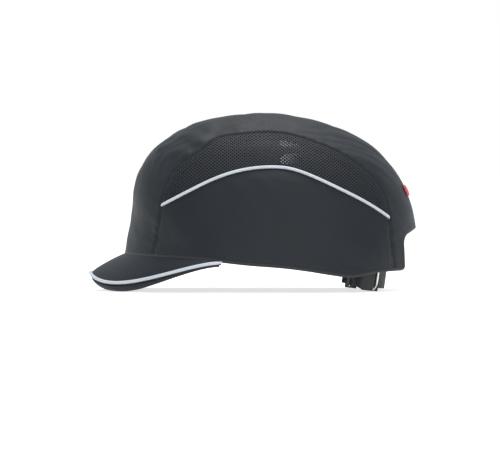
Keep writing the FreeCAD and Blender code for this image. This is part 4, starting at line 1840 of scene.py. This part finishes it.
@dataclass
class Liner:
    """The hard shell, its foam pads, and the headband with its pegs and towelling band."""

    moulded: tuple[tuple[str, str], ...] = (
        ("hard_shell", "shell"), ("headband", "headband"), ("headband_pegs", "headband"),
        ("strap_anchor_left", "anchor"), ("strap_anchor_right", "anchor"), ("anchor_rivets", "rivet"),
    )
    pads: tuple[str, ...] = ("crown_foam", "front_foam", "rear_foam", "side_foam_left", "side_foam_right")
    pad_grain: float = 1.6
    band_grain: float = 0.9

    def soften(self, node: str, name: str, grain: float, turns: int) -> bpy.types.Object:
        """Return a rounded copy of a plain solid.

        Args:
            node: The solid's name.
            name: The new piece's name.
            grain: The size of the rounded copy's faces.
            turns: How often its corners are eased.

        Returns:
            The copy.
        """
        piece = bpy.data.objects.new(name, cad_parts[node].data.copy())
        bpy.context.scene.collection.objects.link(piece)
        weld(piece, 0.02)
        apply_modifier(piece, "REMESH", mode="VOXEL", voxel_size=grain * MM)
        apply_modifier(piece, "SMOOTH", factor=0.5, iterations=turns)
        smooth(piece, 70)
        return piece

    def build(self) -> None:
        """Build and dress the liner."""
        for node, look in self.moulded:
            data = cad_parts[node].data
            data.materials.clear()
            data.materials.append(finish(look))
        for node in self.pads:
            pad = self.soften(node, node + "_pad", self.pad_grain, 6)
            dress(pad, finish("foam"), "liner", [node])
        band = self.soften("sweatband", "sweatband_towel", self.band_grain, 4)
        dress(band, finish("towel"), "liner", ["sweatband"])


# ------------------------------------------------------------------ nape strap

@dataclass
class NapeStrap:
    """The webbing strap at the back, its sliding buckle on the left and its loose end."""

    centre: tuple[float, float] = (30.805, 12.9)
    tilt: float = 8.0
    main: float = 81.345
    outer: float = 86.245
    sewn: float = 82.95
    fold: float = 52.08
    sewn_end: float = 40.08
    tail_end: float = 30.58
    tail_drop: float = 2.4
    height: float = 20.0
    webbing: float = 1.5
    slider_front: float = 47.58
    slider_rear: float = 33.08
    slider_radius: float = 88.5
    slider_height: float = 25.0
    slider_corner: float = 7.5
    wire: float = 1.1

    def point(self, radius: Array, degrees: Array, height: Array) -> Array:
        """Return points by distance from the strap's axis, degrees from the back and height up the axis.

        Args:
            radius: Distances from the axis.
            degrees: Degrees from the back.
            height: Heights up the axis.

        Returns:
            The points.
        """
        turn, tilt = np.radians(degrees), math.radians(self.tilt)
        x = radius * np.cos(turn)
        return np.stack([self.centre[0] + x * math.cos(tilt) + height * math.sin(tilt), radius * np.sin(turn),
                         self.centre[1] - x * math.sin(tilt) + height * math.cos(tilt)], axis=-1)

    def turn_round(self, sign: float) -> list[tuple[float, float]]:
        """Return the tight turn of the webbing round an anchor, from the outer layer to the main one.

        Args:
            sign: The anchor's side, as the sign of the degrees.

        Returns:
            Pairs of distance and degrees.
        """
        reach = math.degrees(1.0 / 84.0)
        path = []
        for step in range(6):
            a = math.radians(18 * step)
            path.append((self.outer - 1 + math.cos(a), sign * (self.fold + reach * math.sin(a))))
        for step in range(6):
            a = math.radians(18 * step)
            path.append((self.main + 1 - math.sin(a), sign * (self.fold + reach * math.cos(a))))
        return path

    def ribbon(self, name: str, path: Array, low: Array) -> bpy.types.Object:
        """Return webbing along a path of distances and degrees.

        Args:
            name: The piece's name.
            path: Rows of distance from the axis and degrees from the back.
            low: The height of the webbing's lower edge at each row.

        Returns:
            The webbing.
        """
        middle = self.point(path[:, 0], path[:, 1], low + self.height / 2)
        steps = np.concatenate([[0.0], np.cumsum(np.linalg.norm(np.diff(middle, axis=0), axis=1))])
        count = int(steps[-1] / 0.7)
        places = np.linspace(0, steps[-1], count + 1)
        radius, degrees, foot = (np.interp(places, steps, values) for values in (path[:, 0], path[:, 1], low))

        def place(u: Array, v: Array) -> Array:
            """Place the points."""
            i = np.rint(u * count).astype(int)
            return self.point(radius[i], degrees[i], foot[i] + v * self.height)

        piece = cloth_grid(name, count, 10, place, (float(steps[-1]), self.height))
        apply_modifier(piece, "SOLIDIFY", thickness=self.webbing * MM, offset=0.0)
        apply_modifier(piece, "BEVEL", width=0.4 * MM, segments=3, limit_method="ANGLE",
                       angle_limit=math.radians(60))
        smooth(piece, 60)
        return piece

    def strap(self) -> None:
        """Build the main webbing, folded round both anchors, with the stitching of its sewn end."""
        path = [(self.outer, -self.fold + 2), (self.outer, -self.fold + 1), *self.turn_round(-1.0)]
        path += [(self.main, angle) for angle in np.linspace(-self.fold, self.fold, 140)[1:-1]]
        path += self.turn_round(1.0)[::-1]
        down = np.linspace(0, 1, 9)
        ease = down * down * (3 - 2 * down)
        path += [(self.outer + (self.sewn - self.outer) * e, self.fold - 1 - 4.5 * d)
                 for d, e in zip(down, ease)]
        path += [(self.sewn, angle) for angle in np.linspace(self.fold - 6.5, self.sewn_end, 8)]
        rows = np.array(path)
        webbing = self.ribbon("nape_webbing", rows, np.zeros(len(rows)))
        dress(webbing, finish("webbing"), "liner", ["nape_strap"])
        face = self.sewn + self.webbing / 2 + 0.05
        start, end, inset = self.fold - 7.2, self.sewn_end + 1.2, 2.6
        corners = [(start, inset), (end, inset), (end, self.height - inset), (start, self.height - inset),
                   (start, inset), (end, self.height - inset)]
        for index, (a, b) in enumerate(zip(corners[:-1], corners[1:])):
            share = np.linspace(0, 1, 16)
            degrees, height = a[0] + (b[0] - a[0]) * share, a[1] + (b[1] - a[1]) * share
            row = self.point(np.full(16, face), degrees, height)
            outward = unit(row - self.point(np.full(16, face - 5), degrees, height))
            dress(stitches(f"strap_stitches_{index}", row, outward), finish("thread"), "liner")

    def tail(self) -> None:
        """Build the loose end: out from the left anchor, over the slider's middle bar and on past it."""
        middle = (self.slider_front + self.slider_rear) / 2
        over = self.slider_radius + self.wire + self.webbing / 2 + 0.1
        degrees = np.linspace(self.fold - 2.2, self.tail_end, 60)
        rise = np.clip((self.fold - 2.2 - degrees) / 1.9, 0, 1)
        fall = np.clip((middle - 0.9 - degrees) / 3.8, 0, 1)
        climb = rise * rise * (3 - 2 * rise) * (1 - fall * fall * (3 - 2 * fall))
        radius = self.outer + (over - self.outer) * climb
        radius += 0.9 * np.clip((self.slider_rear - degrees) / 2.5, 0, 1) ** 1.5
        low = -self.tail_drop * np.clip((self.fold - 2.2 - degrees) / 3, 0, 1)
        tail = self.ribbon("strap_tail_webbing", np.stack([radius, -degrees], axis=-1), low)
        tail.data.materials.append(finish("webbing"))
        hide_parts("strap_tail")
        height = np.array([self.height / 2])
        start = self.point(np.array([self.outer]), np.array([-(self.fold - 2.2)]), height)[0]
        end = self.point(np.array([self.outer]), np.array([-self.slider_front]), height)[0]
        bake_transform(tail)
        log.info("%s: %d faces from liner to slider", tail.name, len(tail.data.polygons))

    def wire_radius(self, u: Array) -> Array:
        """Return the slider wire's radius at each share of its length."""
        return np.full_like(u, self.wire)

    def slider(self) -> None:
        """Build the slider: a rounded wire frame with a bar across its middle."""
        middle = (self.slider_front + self.slider_rear) / 2
        arc = math.radians(self.slider_front - self.slider_rear) * self.slider_radius
        half_s, half_h = arc / 2 - self.wire, self.slider_height / 2 - self.wire
        corner = self.slider_corner
        flat = []
        for quarter, (sx, sy) in enumerate(((1, 1), (-1, 1), (-1, -1), (1, -1))):
            for step in range(13):
                a = math.radians(90 * quarter + 7.5 * step)
                flat.append((sx * (half_s - corner) + corner * math.cos(a),
                             sy * (half_h - corner) + corner * math.sin(a)))
        loop = np.array(flat)
        degrees = -(middle + np.degrees(loop[:, 0] / self.slider_radius))
        ring = self.point(np.full(len(loop), self.slider_radius), degrees, self.height / 2 + loop[:, 1])
        closed = evenly(np.vstack([ring, ring[:1]]), 1.0)[:-1]
        wire = tube("slider_wire", closed, self.wire_radius, closed=True, sides=16)
        heights = np.linspace(-half_h, half_h, 12) + self.height / 2
        bar_path = self.point(np.full(12, self.slider_radius), np.full(12, -middle), heights)
        bar = tube("slider_bar", bar_path, self.wire_radius, sides=16)
        whole = join([wire, bar], "slider_buckle")
        dress(whole, finish("slider"), "slider", ["slider_frame"])

    def build(self) -> None:
        """Build the whole strap."""
        self.strap()
        self.tail()
        self.slider()


# ------------------------------------------------------------------ studio

@dataclass
class Studio:
    """A white floor, soft light and the camera at the cap's left side."""

    aim: tuple[float, float, float] = (-0.002, 0.0, 0.0446)
    distance: float = 4.0
    width_seen: float = 0.425
    elevation: float = 1.0
    sensor: float = 36.0
    key_power: float = 22.0
    fill_power: float = 8.0
    ambient: float = 0.58

    def camera(self) -> None:
        """Place the camera."""
        rise = math.radians(self.elevation)
        data = bpy.data.cameras.new("camera")
        data.sensor_width = self.sensor
        data.lens = self.sensor * self.distance / self.width_seen
        data.clip_end = 100
        camera = bpy.data.objects.new("camera", data)
        bpy.context.scene.collection.objects.link(camera)
        aim = Vector(self.aim)
        camera.location = aim + Vector((0, -math.cos(rise), math.sin(rise))) * self.distance
        camera.rotation_euler = (aim - camera.location).to_track_quat("-Z", "Y").to_euler()
        bpy.context.scene.camera = camera

    def seen(self, shader: Shader) -> Socket:
        """Return 1 for rays by which the backdrop is looked at, straight or in a reflection.

        Args:
            shader: The material that asks.

        Returns:
            The value for each ray.
        """
        rays = [shader.node("LightPath", name) for name in
                ("Is Camera Ray", "Is Glossy Ray", "Is Transmission Ray")]
        return rays[0].math("MAXIMUM", rays[1]).math("MAXIMUM", rays[2])

    def floor(self) -> None:
        """Build the white floor, which keeps the cap's shadow."""
        clear_selection()
        bpy.ops.mesh.primitive_plane_add(size=40, location=(0, 0, -0.0002))
        plane = bpy.context.object
        plane.name = "floor"
        activate(plane)
        bpy.ops.object.transform_apply(location=True, rotation=True, scale=True)
        shader = Shader("floor")
        shader.set(Base_Color=(0.82, 0.82, 0.82, 1.0), Roughness=0.9, Specular_IOR_Level=0.1)
        shader.set(Emission_Color=(1.0, 1.0, 1.0, 1.0), Emission_Strength=0.72)
        plain = shader.node("BsdfDiffuse", "BSDF", Color=(0.8, 0.8, 0.8, 1.0))
        glow = Socket(shader.tree, shader.principled.outputs[0])
        mixed = shader.node("MixShader", "Shader", numbered={1: plain, 2: glow}, Fac=self.seen(shader))
        below = shader.node("NewGeometry", "Backfacing")
        clear = shader.node("BsdfTransparent", "BSDF")
        sided = shader.node("MixShader", "Shader", numbered={1: mixed, 2: clear}, Fac=below)
        output = next(node for node in shader.tree.nodes if node.type == "OUTPUT_MATERIAL")
        shader.feed(output.inputs["Surface"], sided)
        plane.data.materials.append(shader.material)

    def world(self) -> None:
        """Light the cap softly from all round and show white behind it."""
        world = bpy.data.worlds.new("studio")
        bpy.context.scene.world = world
        world.use_nodes = True
        nodes = Nodes(world.node_tree)
        white = nodes.node("Background", "Background", Color=(1.0, 1.0, 1.0, 1.0))
        soft = nodes.node("Background", "Background", Color=(0.90, 0.96, 1.0, 1.0), Strength=self.ambient)
        looked_at = nodes.node("LightPath", "Is Camera Ray")
        mixed = nodes.node("MixShader", "Shader", numbered={1: soft, 2: white}, Fac=looked_at)
        output = next(node for node in nodes.tree.nodes if node.type == "OUTPUT_WORLD")
        nodes.feed(output.inputs["Surface"], mixed)

    def lamp(self, name: str, place: Sequence[float], size: float, power: float) -> None:
        """Add one large soft lamp that points at the cap.

        Args:
            name: The lamp's name.
            place: Where it stands.
            size: How wide it is.
            power: How strong it is.
        """
        data = bpy.data.lights.new(name, "AREA")
        data.shape = "DISK"
        data.size = size
        data.energy = power
        lamp = bpy.data.objects.new(name, data)
        bpy.context.scene.collection.objects.link(lamp)
        lamp.location = place
        lamp.rotation_euler = (Vector(self.aim) - lamp.location).to_track_quat("-Z", "Y").to_euler()

    def build(self) -> None:
        """Build the studio."""
        self.camera()
        self.world()
        self.floor()
        self.lamp("key", (0.1, 0.2, 1.9), 0.8, self.key_power)
        self.lamp("fill", (0.4, -2.0, 0.9), 1.4, self.fill_power)
        bpy.context.scene.view_settings.view_transform = "Standard"


def write_sizes() -> None:
    """Bring the scene's placements up to date."""
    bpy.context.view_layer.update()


def main() -> None:
    """Build the studio and every part of the cap."""
    logging.basicConfig(level=logging.INFO, format="%(name)s %(message)s")
    Studio().build()
    CrownCloth().build()
    net = NetPanel()
    for side in Side:
        net.build(side)
    Trim().build()
    Brim().build()
    Liner().build()
    NapeStrap().build()
    write_sizes()
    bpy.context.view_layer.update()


if __name__ == "__main__":
    main()
